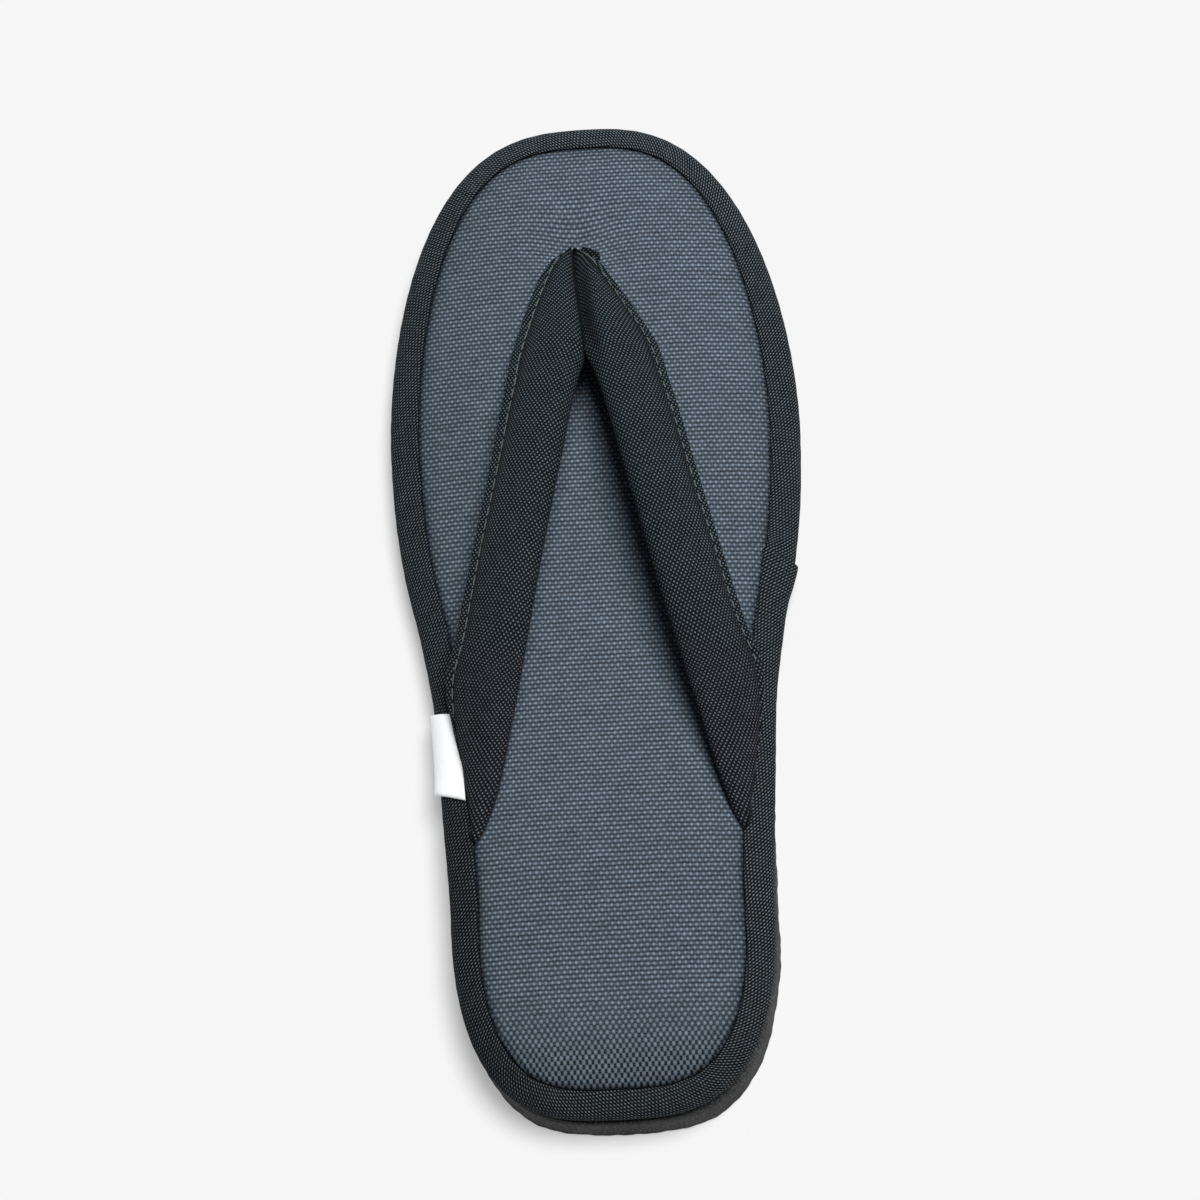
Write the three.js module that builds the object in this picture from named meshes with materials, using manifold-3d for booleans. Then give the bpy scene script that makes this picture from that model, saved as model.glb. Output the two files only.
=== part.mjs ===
// Zori house sandal for the left foot: a padded footbed on a low wedge sole, a bound edge, and a
// V-shaped stuffed strap. Millimetres, +Z up, +Y to the toe, +X to the right of the wearer.
// The group's origin is the middle of the bounding box, at the floor.

import * as THREE from 'three';
import Module from 'manifold-3d';

const wasm = await Module();
wasm.setup();

// ---------------------------------------------------------------- sizes

// Plan outline of the padded footbed: two rounded caps joined by the sides.
const TOE = { tip: 126.8, root: 42, half: 52.1, reach: 2.0, square: 2.72 };
const HEEL = { tip: -130, root: -80, half: 38.6, reach: 2.4, square: 3.1 };
const SIDES = [
  { y: 42, half: 52.1 },
  { y: 23, half: 51.1 },
  { y: 7, half: 48.9 },
  { y: -9, half: 45.4 },
  { y: -28, half: 42.2 },
  { y: -50, half: 40.6 },
  { y: -80, half: 38.6 },
];
const TOE_SWING = -0.4; // the toe leans this far, outwards on a left shoe
const SWING_START = 40; // y where that lean begins

// Heights along the foot.
const TOE_SPRING = 5; // lift of the sole's underside at the toe tip
const SPRING_START = 60; // y where the underside leaves the floor
const FORE_SOLE = 3.6; // outsole thickness under the ball
const HEEL_SOLE = 9; // outsole thickness under the heel
const WEDGE = { front: -15, back: -75 }; // y range over which the wedge rises

// Outsole: out is its foot, measured outwards from the footbed's outline, and flare is how far the
// wall leans in from there to its top.
const SOLE_EDGE = [
  { y: 130, out: -1.6, flare: 0 },
  { y: -40, out: -1.6, flare: 0 },
  { y: -80, out: 0, flare: 0.4 },
  { y: -110, out: 0.5, flare: 1.0 },
  { y: -130, out: 1.9, flare: 1.5 },
];
const SOLE_SHIFT = 0.8; // the heel of the sole sits this far to the right of the footbed
const SOLE_BEVEL = 0.7;

// Section of the footbed's edge: d is inwards from the outline, h is above the pad's base.
const ROLL = { under: 3.4, over: 5.5, low: 3.8, high: 3.7, stop: 66 }; // stop in degrees
const CROWN = { flat: 32, slope: 0.3 }; // the crown is level further in than flat

// Binding, insole and the clearances between touching pieces.
const GAP = 0.3;
const TAPE = 1.0; // binding wall
const TAPE_TOP = 6.9; // width of the binding on the top face
const TAPE_UNDER = 6.9; // width of the binding on the underside
const PROUD = 0.5; // the binding stands this far above the insole beside it

// Slots through the insole, and the strap's tails in them.
const TAIL = { outer: 7.6, inner: 9.6, front: -26, back: -54 };
const POST = { half: 4, front: 88, back: 81 };
const TAIL_BITE = 1.0; // how far a side tail reaches up into the arm
const POST_BITE = 3;

// One arm of the strap, front to back. in and out are its two long edges, h is the height of the
// arm's middle above the footbed's highest line, thick is the stuffed thickness, seam the lip.
const ARM = [
  { inX: -0.4, inY: 91.2, inH: -0.6, outX: 1.6, outY: 90.6, outH: -0.8, thick: 2.4, seam: 0.7 },
  { inX: -0.4, inY: 86.6, inH: 2.0, outX: 6.2, outY: 87.0, outH: 0.4, thick: 4.8, seam: 2.0 },
  { inX: -0.4, inY: 78.0, inH: 6.2, outX: 10.8, outY: 78.0, outH: 2.8, thick: 7.0, seam: 2.6 },
  { inX: -0.4, inY: 68.0, inH: 10.2, outX: 14.8, outY: 68.5, outH: 5.2, thick: 8.6, seam: 2.6 },
  { inX: -0.2, inY: 58.0, inH: 13.8, outX: 18.2, outY: 59.0, outH: 8.0, thick: 9.4, seam: 2.6 },
  { inX: 2.1, inY: 50.5, inH: 15.6, outX: 20.0, outY: 50.0, outH: 9.4, thick: 9.8, seam: 2.6 },
  { inX: 4.0, inY: 43.5, inH: 16.8, outX: 21.8, outY: 42.0, outH: 10.4, thick: 10.0, seam: 2.6 },
  { inX: 7.4, inY: 28.0, inH: 18.4, outX: 25.4, outY: 25.0, outH: 11.0, thick: 10.0, seam: 2.6 },
  { inX: 11.5, inY: 10.0, inH: 18.2, outX: 29.9, outY: 6.0, outH: 10.2, thick: 10.0, seam: 2.6 },
  { inX: 16.5, inY: -12.0, inH: 15.8, outX: 34.6, outY: -13.0, outH: 7.4, thick: 9.6, seam: 2.6 },
  { inX: 20.2, inY: -27.0, inH: 11.8, outX: 38.0, outY: -23.0, outH: 3.2, thick: 8.8, seam: 2.3 },
  { inX: 23.4, inY: -39.0, inH: 7.2, outX: 37.6, outY: -33.0, outH: -0.6, thick: 7.8, seam: 1.4 },
  { inX: 26.4, inY: -50.0, inH: 2.6, outX: 35.4, outY: -44.5, outH: -3.2, thick: 6.2, seam: 0.5 },
  { inX: 29.6, inY: -59.0, inH: -1.6, outX: 33.9, outY: -55.0, outH: -4.0, thick: 4.4, seam: 0.5 },
  { inX: 31.8, inY: -63.4, inH: -3.6, outX: 33.3, outY: -62.2, outH: -4.2, thick: 2.2, seam: 0.3 },
];
const ARM_SQUARE = 2.05; // fullness of the stuffed section, 2 is an ellipse
const ARM_TURNS = [0, 25, 52, 80, 108, 135, 156]; // degrees round the section's upper half
const SEAM = { thick: 1.3, share: 0.8, edge: 0.7 }; // flat lip: share is of the arm's thickness

// Sideways shift of the strap along the foot: its front leans outwards on a left shoe.
const STRAP_SWAY = [
  { y: 92, x: -3 },
  { y: 82, x: -2.5 },
  { y: 72, x: -1.5 },
  { y: 62, x: -0.45 },
  { y: 52, x: 0 },
  { y: 36, x: 0.3 },
  { y: 0, x: 0.5 },
  { y: -30, x: 0.95 },
  { y: -52, x: 0.95 },
  { y: -64, x: 0.4 },
];

// Side label: a folded tape on the binding's outer side. low is where it ends on the rolled edge, in
// degrees, and each cut end runs back towards the heel by its lean for each millimetre inwards.
const LABEL = { front: -29.5, back: -50.5, inner: 6.4, low: 15, thick: 0.9, clear: 0.5 };
const LABEL_LEAN = { front: 0.12, back: 0.34 };

const FINISH = {
  outsole: { colour: 0x3d3a36, roughness: 0.85 },
  insole: { colour: 0x4c5763, roughness: 0.9 },
  binding: { colour: 0x2b3033, roughness: 0.9 },
  strap: { colour: 0x282d30, roughness: 0.9 },
  label: { colour: 0xe9eaea, roughness: 0.8 },
};

// How finely the curved pieces are cut.
const RIM_STEPS = 44; // per side, toe tip to heel tip
const FINE_STEPS = 240;
const ARM_STATIONS = 36;
const ROLL_STEPS = 4;
const CROWN_STEPS = 4;
const TAIL_STEPS = 8;
const LABEL_STEPS = 6;

// ---------------------------------------------------------------- curves

/** Smooth step from 0 at start to 1 at end. */
function ease(value, start, end) {
  return THREE.MathUtils.smoothstep((value - start) / (end - start), 0, 1);
}

/** One column of a table, read at a place between its rows by a smooth cubic. */
function readTable(rows, column, place) {
  const last = rows.length - 1;
  const index = Math.min(Math.floor(place), last - 1);
  const at = (row) => rows[THREE.MathUtils.clamp(row, 0, last)][column];
  const t = place - index;
  const before = (at(index + 1) - at(index - 1)) / 2;
  const after = (at(index + 2) - at(index)) / 2;
  const rise = at(index + 1) - at(index);
  return at(index) + t * (before + t * (3 * rise - 2 * before - after + t * (before + after - 2 * rise)));
}

/** Place of a y coordinate in a table whose rows run from the toe to the heel. */
function placeOf(rows, y) {
  const next = rows.findIndex((row) => row.y <= y);
  if (next === 0) {
    return 0;
  }
  if (next < 0) {
    return rows.length - 1;
  }
  return next - (y - rows[next].y) / (rows[next - 1].y - rows[next].y);
}

/** Half width of a cap: a superellipse from its root to its tip. */
function capHalf(cap, y) {
  const along = Math.min(Math.abs((y - cap.root) / (cap.tip - cap.root)), 1);
  return cap.half * (1 - along ** cap.reach) ** (1 / cap.square);
}

/** Half width of the footbed at y. */
function halfWidth(y) {
  if (y > TOE.root) {
    return capHalf(TOE, y);
  }
  if (y < HEEL.root) {
    return capHalf(HEEL, y);
  }
  return readTable(SIDES, 'half', placeOf(SIDES, y));
}

/** Sideways lean of the centre line at y. */
function swing(y) {
  return TOE_SWING * ease(y, SWING_START, TOE.tip);
}

/** Sideways shift of the strap at y. */
function strapSway(y) {
  return readTable(STRAP_SWAY, 'x', placeOf(STRAP_SWAY, y));
}

/** Height of the sole's underside at y. */
function underside(y) {
  return TOE_SPRING * (Math.max(y - SPRING_START, 0) / (TOE.tip - SPRING_START)) ** 2;
}

/** Height of the outsole's top at y. */
function soleTop(y) {
  const wedge = ease(-y, -WEDGE.front, -WEDGE.back);
  return underside(y) + THREE.MathUtils.lerp(FORE_SOLE, HEEL_SOLE, wedge);
}

/** Height of the pad's base at y, one clearance above the outsole. */
function padBase(y) {
  return soleTop(y) + GAP;
}

/** Where the rolled edge hands over to the crown, as distance in and height. */
function rollEnd() {
  const stop = THREE.MathUtils.degToRad(ROLL.stop);
  return { d: ROLL.over * (1 - Math.cos(stop)), h: ROLL.low + ROLL.high * Math.sin(stop) };
}

/** Height of the pad's top above its base, d inwards from the outline. */
function crown(d) {
  const start = rollEnd();
  const run = CROWN.flat - start.d;
  const left = Math.max(CROWN.flat - d, 0) / run;
  return start.h + (CROWN.slope * run) / 2 * (1 - left * left);
}

/** Evenly spaced rim points from toe tip round the right side, heel and left side, with normals. */
function buildRim() {
  const fine = [];
  const centre = (TOE.tip + HEEL.tip) / 2;
  for (let step = 0; step <= FINE_STEPS; step += 1) {
    const turn = (Math.PI * step) / FINE_STEPS;
    const y = centre + (TOE.tip - centre) * Math.cos(turn);
    fine.push(new THREE.Vector3(halfWidth(y), y, 0));
  }
  const side = new THREE.CatmullRomCurve3(fine, false, 'chordal');
  side.arcLengthDivisions = FINE_STEPS * 4;
  const right = side.getSpacedPoints(RIM_STEPS);
  const left = right.slice(1, -1).reverse().map((p) => new THREE.Vector3(-p.x, p.y, 0));
  const points = [...right, ...left];
  return points.map((point, index) => {
    const next = points[(index + 1) % points.length];
    const last = points[(index + points.length - 1) % points.length];
    const along = next.clone().sub(last).normalize();
    return { x: point.x, y: point.y, outX: -along.y, outY: along.x };
  });
}

const RIM = buildRim();

/** A ring of points d inwards from the rim, at the height that heightAt gives for each y. */
function ring(distance, heightAt, shift = 0) {
  return RIM.map((rim) => {
    const d = typeof distance === 'function' ? distance(rim.y) : distance;
    const y = rim.y - rim.outY * d;
    return new THREE.Vector3(rim.x - rim.outX * d + swing(y) + shift, y, heightAt(y));
  });
}

// ---------------------------------------------------------------- solids

/** A closed manifold solid from points and triangles, turned so that its faces point out. */
function closedSolid(points, triangles) {
  let volume = 0;
  for (const [a, b, c] of triangles) {
    volume += points[a].dot(points[b].clone().cross(points[c]));
  }
  const order = volume > 0 ? triangles : triangles.map(([a, b, c]) => [a, c, b]);
  return new wasm.Manifold(new wasm.Mesh({
    numProp: 3,
    vertProperties: Float32Array.from(points.flatMap((p) => [p.x, p.y, p.z])),
    triVerts: Uint32Array.from(order.flat()),
  }));
}

/** Triangles between neighbouring loops of equal length; wrapped also joins the last to the first. */
function sleeve(loops, length, wrapped) {
  const triangles = [];
  const bands = wrapped ? loops : loops - 1;
  for (let band = 0; band < bands; band += 1) {
    const near = band * length;
    const far = ((band + 1) % loops) * length;
    for (let index = 0; index < length; index += 1) {
      const next = (index + 1) % length;
      triangles.push([near + index, near + next, far + next]);
      triangles.push([near + index, far + next, far + index]);
    }
  }
  return triangles;
}

/** Triangles across a ring between its mirrored points, which share their y. */
function ringLid(start, facing) {
  const count = RIM.length;
  const triangles = [];
  for (let index = 0; index < RIM_STEPS; index += 1) {
    const right = [start + index, start + index + 1];
    const left = [start + ((count - index) % count), start + count - index - 1];
    triangles.push([right[0], left[0], left[1]], [right[0], left[1], right[1]]);
  }
  const solid = triangles.filter(([a, b, c]) => a !== b && b !== c && a !== c);
  return facing > 0 ? solid : solid.map(([a, b, c]) => [a, c, b]);
}

/** A solid through a list of rings, closed by a lid at each end. */
function liddedRings(rings) {
  const points = rings.flat();
  const triangles = sleeve(rings.length, RIM.length, false);
  triangles.push(...ringLid(0, 1), ...ringLid((rings.length - 1) * RIM.length, -1));
  return closedSolid(points, triangles);
}

/** Triangles of a lid that fans out from a loop's first point. */
function fanLid(length) {
  const triangles = [];
  for (let index = 1; index < length - 1; index += 1) {
    triangles.push([0, index, index + 1]);
  }
  return triangles;
}

/** Triangles of a lid across a thin strip, whose loop runs out along one face and back on the other. */
function stripLid(length) {
  const triangles = [];
  for (let index = 0; index < length / 2 - 1; index += 1) {
    const across = length - 1 - index;
    triangles.push([index, index + 1, across - 1], [index, across - 1, across]);
  }
  return triangles;
}

/** A solid through sections of equal length, with a lid over each end. */
function sweptSections(sections, lid) {
  const length = sections[0].length;
  const points = sections.flat();
  const triangles = sleeve(sections.length, length, false);
  const last = (sections.length - 1) * length;
  for (const [a, b, c] of lid(length)) {
    triangles.push([a, c, b], [last + a, last + b, last + c]);
  }
  return closedSolid(points, triangles);
}

/** A named mesh from a manifold solid, in its own finish. */
function piece(name, solid) {
  const mesh = solid.getMesh();
  const geometry = new THREE.BufferGeometry();
  geometry.setAttribute('position', new THREE.BufferAttribute(Float32Array.from(mesh.vertProperties), 3));
  geometry.setIndex(new THREE.BufferAttribute(Uint32Array.from(mesh.triVerts), 1));
  geometry.computeVertexNormals();
  const { colour, roughness } = FINISH[name];
  const material = new THREE.MeshStandardMaterial({ color: colour, roughness, metalness: 0 });
  const result = new THREE.Mesh(geometry, material);
  result.name = name;
  return result;
}

// ---------------------------------------------------------------- footbed section

/** Points of the rolled edge, bottom to top, sunk by inset below the pad's outer face. */
function rollPoints(inset) {
  const points = [];
  for (let step = -ROLL_STEPS; step <= ROLL_STEPS; step += 1) {
    const turn = step < 0 ? (90 * step) / ROLL_STEPS : (ROLL.stop * step) / ROLL_STEPS;
    const angle = THREE.MathUtils.degToRad(turn);
    const width = (step < 0 ? ROLL.under : ROLL.over) - inset;
    const height = (step < 0 ? ROLL.low : ROLL.high) - inset;
    points.push({ d: inset + width * (1 - Math.cos(angle)), h: ROLL.low + height * Math.sin(angle) });
  }
  return points;
}

/** Points of the crown from one distance in to another, sunk by inset. */
function crownPoints(from, to, steps, inset) {
  const points = [];
  for (let step = 0; step <= steps; step += 1) {
    const d = THREE.MathUtils.lerp(from, to, step / steps);
    points.push({ d, h: crown(d) - inset });
  }
  return points;
}

/** Turns section points into rings round the footbed. */
function padRings(section) {
  return section.map(({ d, h }) => ring(d, (y) => padBase(y) + h));
}

/** The whole pad's outer form, grown by a clearance, to cut what lies on it. */
function padForm(grow) {
  return liddedRings(padRings([
    { d: TAPE_UNDER, h: -grow },
    ...rollPoints(-grow),
    ...crownPoints(TAPE_TOP, CROWN.flat, CROWN_STEPS, -grow),
  ]));
}

// ---------------------------------------------------------------- the pieces

/** Wedge outsole: flat underside, toe spring, bevelled edges. */
function outsole() {
  const foot = (inset) => (y) => inset - readTable(SOLE_EDGE, 'out', placeOf(SOLE_EDGE, y));
  const head = (inset) => (y) => foot(inset)(y) + readTable(SOLE_EDGE, 'flare', placeOf(SOLE_EDGE, y));
  const raised = (lift) => (y) => underside(y) + lift;
  const lowered = (drop) => (y) => soleTop(y) - drop;
  const rings = [
    ring(foot(SOLE_BEVEL), raised(0), SOLE_SHIFT),
    ring(foot(0), raised(SOLE_BEVEL), SOLE_SHIFT),
    ring(head(0), lowered(SOLE_BEVEL), SOLE_SHIFT),
    ring(head(SOLE_BEVEL), lowered(0), SOLE_SHIFT),
  ];
  return liddedRings(rings);
}

/** Upright band that follows the right side at a distance in from the rim. */
function sideBand(spread, lowest, bite) {
  const sections = [];
  for (let step = 0; step <= TAIL_STEPS; step += 1) {
    const y = THREE.MathUtils.lerp(TAIL.front + spread, TAIL.back - spread, step / TAIL_STEPS);
    const outer = halfWidth(y) - TAIL.outer + spread;
    const inner = halfWidth(y) - TAIL.inner - spread;
    const low = padBase(y) + lowest;
    const high = padBase(y) + crown(TAIL.outer) + bite;
    sections.push([
      new THREE.Vector3(outer + swing(y), y, low),
      new THREE.Vector3(inner + swing(y), y, low),
      new THREE.Vector3(inner + swing(y), y, high),
      new THREE.Vector3(outer + swing(y), y, high),
    ]);
  }
  return sweptSections(sections, fanLid);
}

/** Upright block where the strap's front goes through the footbed. */
function frontPost(spread, lowest, bite) {
  const section = (y) => {
    const right = strapSway(y) + POST.half + spread;
    const left = strapSway(y) - POST.half - spread;
    const low = padBase(y) + lowest;
    const high = padBase(y) + crown(CROWN.flat) + bite;
    return [
      new THREE.Vector3(right, y, low),
      new THREE.Vector3(left, y, low),
      new THREE.Vector3(left, y, high),
      new THREE.Vector3(right, y, high),
    ];
  };
  return sweptSections([section(POST.front + spread), section(POST.back - spread)], fanLid);
}

/** The same solid on the left side. */
function mirrored(solid) {
  return solid.mirror([1, 0, 0]);
}

/** The three tails of the strap, or with spread and longer ends the slots that hold them. */
function tails(spread, lowest, sideBite, postBite) {
  const side = sideBand(spread, lowest, sideBite);
  return side.add(mirrored(side)).add(frontPost(spread, lowest, postBite));
}

/** Padded insole: crowned top, rebated under the binding, slotted for the strap. */
function insole() {
  const sunk = TAPE + GAP;
  const rebate = TAPE_TOP + GAP;
  const body = liddedRings(padRings([
    { d: TAPE_UNDER + GAP, h: 0 },
    { d: TAPE_UNDER + GAP, h: sunk },
    ...rollPoints(sunk),
    { d: rebate, h: crown(rebate) - sunk },
    ...crownPoints(rebate + GAP, CROWN.flat, CROWN_STEPS, PROUD),
  ]));
  const above = CROWN.flat;
  return body.subtract(tails(GAP, -sunk, above, above));
}

/** Binding: canvas tape folded round the footbed's edge, a C in section. */
function binding() {
  const outer = [
    { d: TAPE_UNDER, h: 0 },
    ...rollPoints(0),
    { d: TAPE_TOP, h: crown(TAPE_TOP) },
  ];
  const inner = [
    { d: TAPE_UNDER, h: TAPE },
    ...rollPoints(TAPE),
    { d: TAPE_TOP, h: crown(TAPE_TOP) - TAPE },
  ];
  const rings = padRings([...outer, ...inner.reverse()]);
  return closedSolid(rings.flat(), sleeve(rings.length, RIM.length, true));
}

/** Section of a stuffed arm in its own plane: across from the inner edge, up from the middle. */
function armSection(width, thick, seam) {
  const body = width - seam;
  const lip = Math.min(SEAM.thick, thick * SEAM.share) / 2;
  const edge = lip * SEAM.edge;
  const top = [];
  for (const turn of ARM_TURNS) {
    const angle = THREE.MathUtils.degToRad(turn);
    const side = Math.sign(Math.cos(angle)) * Math.abs(Math.cos(angle)) ** (2 / ARM_SQUARE);
    const rise = Math.abs(Math.sin(angle)) ** (2 / ARM_SQUARE);
    top.push({ across: (body / 2) * (1 - side), up: (thick / 2) * rise });
  }
  const bottom = top.slice(1).reverse().map(({ across, up }) => ({ across, up: -up }));
  const lipEdge = [
    { across: body, up: lip },
    { across: width, up: edge },
    { across: width, up: -edge },
    { across: body, up: -lip },
  ];
  return [...top, ...lipEdge, ...bottom];
}

/** The right arm, lofted from its table. */
function strapArm() {
  const rise = (y) => padBase(y) + crown(CROWN.flat);
  const edges = [];
  for (let step = 0; step <= ARM_STATIONS; step += 1) {
    const place = ((ARM.length - 1) * step) / ARM_STATIONS;
    const read = (column) => readTable(ARM, column, place);
    const inner = new THREE.Vector3(read('inX'), read('inY'), rise(read('inY')) + read('inH'));
    const outer = new THREE.Vector3(read('outX'), read('outY'), rise(read('outY')) + read('outH'));
    edges.push({ inner, outer, thick: read('thick'), seam: read('seam') });
  }
  const middle = ({ inner, outer }) => inner.clone().add(outer).multiplyScalar(0.5);
  const sections = edges.map((edge, index) => {
    const ahead = middle(edges[Math.max(index - 1, 0)]);
    const behind = middle(edges[Math.min(index + 1, ARM_STATIONS)]);
    const across = edge.outer.clone().sub(edge.inner);
    const width = across.length();
    across.normalize();
    const up = across.clone().cross(ahead.sub(behind)).normalize();
    return armSection(width, edge.thick, edge.seam).map((point) => edge.inner.clone()
      .addScaledVector(across, point.across)
      .addScaledVector(up, point.up));
  });
  return sweptSections(sections, fanLid);
}

/** Strap: two stuffed arms joined at the front, resting on the pad, with tails through it. */
function strap() {
  const arm = strapArm();
  const arms = arm.add(mirrored(arm)).warp((point) => {
    point[0] += strapSway(point[1]);
  });
  const resting = arms.subtract(padForm(GAP)).subtract(label(GAP));
  return resting.add(tails(0, 0, TAIL_BITE, POST_BITE));
}

/** Folded label over the binding on the left side, grown by a clearance. */
function label(grow) {
  const under = LABEL.clear - grow;
  const over = LABEL.clear + LABEL.thick + grow;
  const path = (stand) => {
    const points = [{ d: LABEL.inner + grow, h: crown(LABEL.inner) + stand }];
    for (let step = ROLL_STEPS; step >= 0; step -= 1) {
      const turn = THREE.MathUtils.lerp(LABEL.low, ROLL.stop, step / ROLL_STEPS);
      const angle = THREE.MathUtils.degToRad(turn);
      points.push({
        d: ROLL.over - (ROLL.over + stand) * Math.cos(angle),
        h: ROLL.low + (ROLL.high + stand) * Math.sin(angle),
      });
    }
    return points;
  };
  const loop = [...path(under), ...path(over).reverse()];
  const sections = [];
  for (let step = 0; step <= LABEL_STEPS; step += 1) {
    const share = step / LABEL_STEPS;
    const start = THREE.MathUtils.lerp(LABEL.front + grow, LABEL.back - grow, share);
    const lean = THREE.MathUtils.lerp(LABEL_LEAN.front, LABEL_LEAN.back, share);
    sections.push(loop.map(({ d, h }) => {
      const y = start - lean * d;
      return new THREE.Vector3(d - halfWidth(y), y, padBase(y) + h);
    }));
  }
  return sweptSections(sections, stripLid);
}

// ---------------------------------------------------------------- assembly

const shoe = new THREE.Group();
shoe.add(piece('outsole', outsole()));
shoe.add(piece('insole', insole()));
shoe.add(piece('binding', binding()));
shoe.add(piece('strap', strap()));
shoe.add(piece('label', label(0)));

const extent = new THREE.Box3().setFromObject(shoe);
const centre = extent.getCenter(new THREE.Vector3());
shoe.position.set(-centre.x, -centre.y, -extent.min.z);

export default shoe;
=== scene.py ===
"""Looks of a zori house sandal for the left foot.

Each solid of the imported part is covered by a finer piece: a wedge outsole, a canvas footbed pad, a
bias binding with its lap joint, a V-shaped stuffed strap with its seam lip and stitches, and a
folded side label. Shapes are worked out in millimetres in the shoe's own frame, with +Y to the
toe, +X to the wearer's right and z = 0 on the floor, and go into meshes in metres.
"""

from __future__ import annotations

import logging
import math
from collections.abc import Callable
from dataclasses import dataclass
from enum import Enum
from typing import NamedTuple

import bmesh
import bpy
import numpy as np
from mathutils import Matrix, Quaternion, Vector


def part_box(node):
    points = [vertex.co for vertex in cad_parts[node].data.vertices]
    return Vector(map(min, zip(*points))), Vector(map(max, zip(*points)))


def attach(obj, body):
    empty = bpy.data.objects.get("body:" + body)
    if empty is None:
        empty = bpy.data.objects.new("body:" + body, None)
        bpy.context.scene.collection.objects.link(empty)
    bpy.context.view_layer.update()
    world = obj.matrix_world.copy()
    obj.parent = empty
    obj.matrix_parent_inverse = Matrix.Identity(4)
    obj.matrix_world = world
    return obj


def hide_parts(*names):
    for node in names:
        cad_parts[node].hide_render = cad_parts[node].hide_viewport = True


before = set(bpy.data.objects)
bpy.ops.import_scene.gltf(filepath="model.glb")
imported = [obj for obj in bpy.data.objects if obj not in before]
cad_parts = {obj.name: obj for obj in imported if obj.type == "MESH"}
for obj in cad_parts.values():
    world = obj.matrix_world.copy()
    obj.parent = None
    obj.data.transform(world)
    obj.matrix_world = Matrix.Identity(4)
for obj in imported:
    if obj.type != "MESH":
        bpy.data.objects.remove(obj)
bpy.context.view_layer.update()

Colour = tuple[float, float, float, float]

LOG = logging.getLogger("zori")
MM = 0.001
BODY = "root"
CLOTH = "cloth"
WHITE = (1.0, 1.0, 1.0, 1.0)


class Side(Enum):
    """A side of the shoe, as the sign of x."""

    RIGHT = 1
    LEFT = -1


# ------------------------------------------------------------------ curves and tables


def ease(value: np.ndarray, start: float, end: float) -> np.ndarray:
    """Smooth step: 3t^2 - 2t^3, where t runs from 0 at start to 1 at end.

    Args:
        value: Where to read the step.
        start: The place where it begins to rise.
        end: The place where it reaches 1.

    Returns:
        Numbers from 0 to 1, one for each value.
    """
    t = np.clip((value - start) / (end - start), 0.0, 1.0)
    return t * t * (3.0 - 2.0 * t)


def swell(value: np.ndarray, middle: float, reach: float) -> np.ndarray:
    """A bell, exp(-(distance from the middle / reach)^2).

    Args:
        value: Where to read the bell.
        middle: Its peak's place.
        reach: How far from the peak it falls to about a third.

    Returns:
        Numbers from 0 to 1, one for each value.
    """
    return np.exp(-(((value - middle) / reach) ** 2))


class Fade(NamedTuple):
    """A change of tone or height that comes in as a smooth step."""

    share: float
    start: float
    end: float

    def at(self, value: np.ndarray) -> np.ndarray:
        """Its strength at a value: share * ease(value, start, end)."""
        return self.share * ease(value, self.start, self.end)


class Bell(NamedTuple):
    """A change of tone that is strongest at its middle and dies away to both sides."""

    share: float
    middle: float
    reach: float

    def at(self, value: np.ndarray) -> np.ndarray:
        """Its strength at a value: share * swell(value, middle, reach)."""
        return self.share * swell(value, self.middle, self.reach)


class Wave(NamedTuple):
    """A sine along an edge: its size, its turn in radians a millimetre, and where it starts."""

    size: float
    turn: float
    start: float


def waved(place: np.ndarray, waves: tuple[Wave, ...]) -> np.ndarray:
    """The sum of size * sin(turn * place + start) over the waves."""
    return sum(wave.size * np.sin(place * wave.turn + wave.start) for wave in waves)


def read_rows(rows: np.ndarray, place: np.ndarray) -> np.ndarray:
    """Reads a table between its rows by a cubic whose slope at a row joins the rows beside it.

    Args:
        rows: The table, one row for each station.
        place: Row numbers, with fractions between rows.

    Returns:
        The columns at each place, on a last axis.
    """
    last = len(rows) - 1
    index = np.minimum(np.floor(place).astype(int), last - 1)
    t = (place - index)[..., None]
    here, there = rows[index], rows[index + 1]
    before = (there - rows[np.maximum(index - 1, 0)]) / 2
    after = (rows[np.minimum(index + 2, last)] - here) / 2
    rise = there - here
    return here + t * (
        before + t * (3 * rise - 2 * before - after + t * (before + after - 2 * rise))
    )


def read_along(rows: tuple[NamedTuple, ...], y: np.ndarray) -> np.ndarray:
    """Reads a table whose first column is y and whose rows run from the toe to the heel.

    Args:
        rows: The table.
        y: Places along the foot.

    Returns:
        The columns at each place, on a last axis.
    """
    table = np.array(rows)
    return read_rows(table, np.interp(-y, -table[:, 0], np.arange(len(table))))


def unit(vectors: np.ndarray) -> np.ndarray:
    """The vectors at length 1."""
    return vectors / np.maximum(np.linalg.norm(vectors, axis=-1, keepdims=True), 1e-9)


def squared(value: np.ndarray, power: float) -> np.ndarray:
    """The size of each number raised to a power, with its sign kept, as a superellipse needs."""
    return np.sign(value) * np.abs(value) ** power


def with_height(plan: np.ndarray, z: np.ndarray) -> np.ndarray:
    """Points in space from points in plan and their heights."""
    return np.concatenate([plan, z[..., None]], -1)


# ------------------------------------------------------------------ meshes


@dataclass
class Patch:
    """A surface on a grid: points in millimetres, and the cloth's own u, v and shade at each."""

    points: np.ndarray
    cloth: np.ndarray


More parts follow.
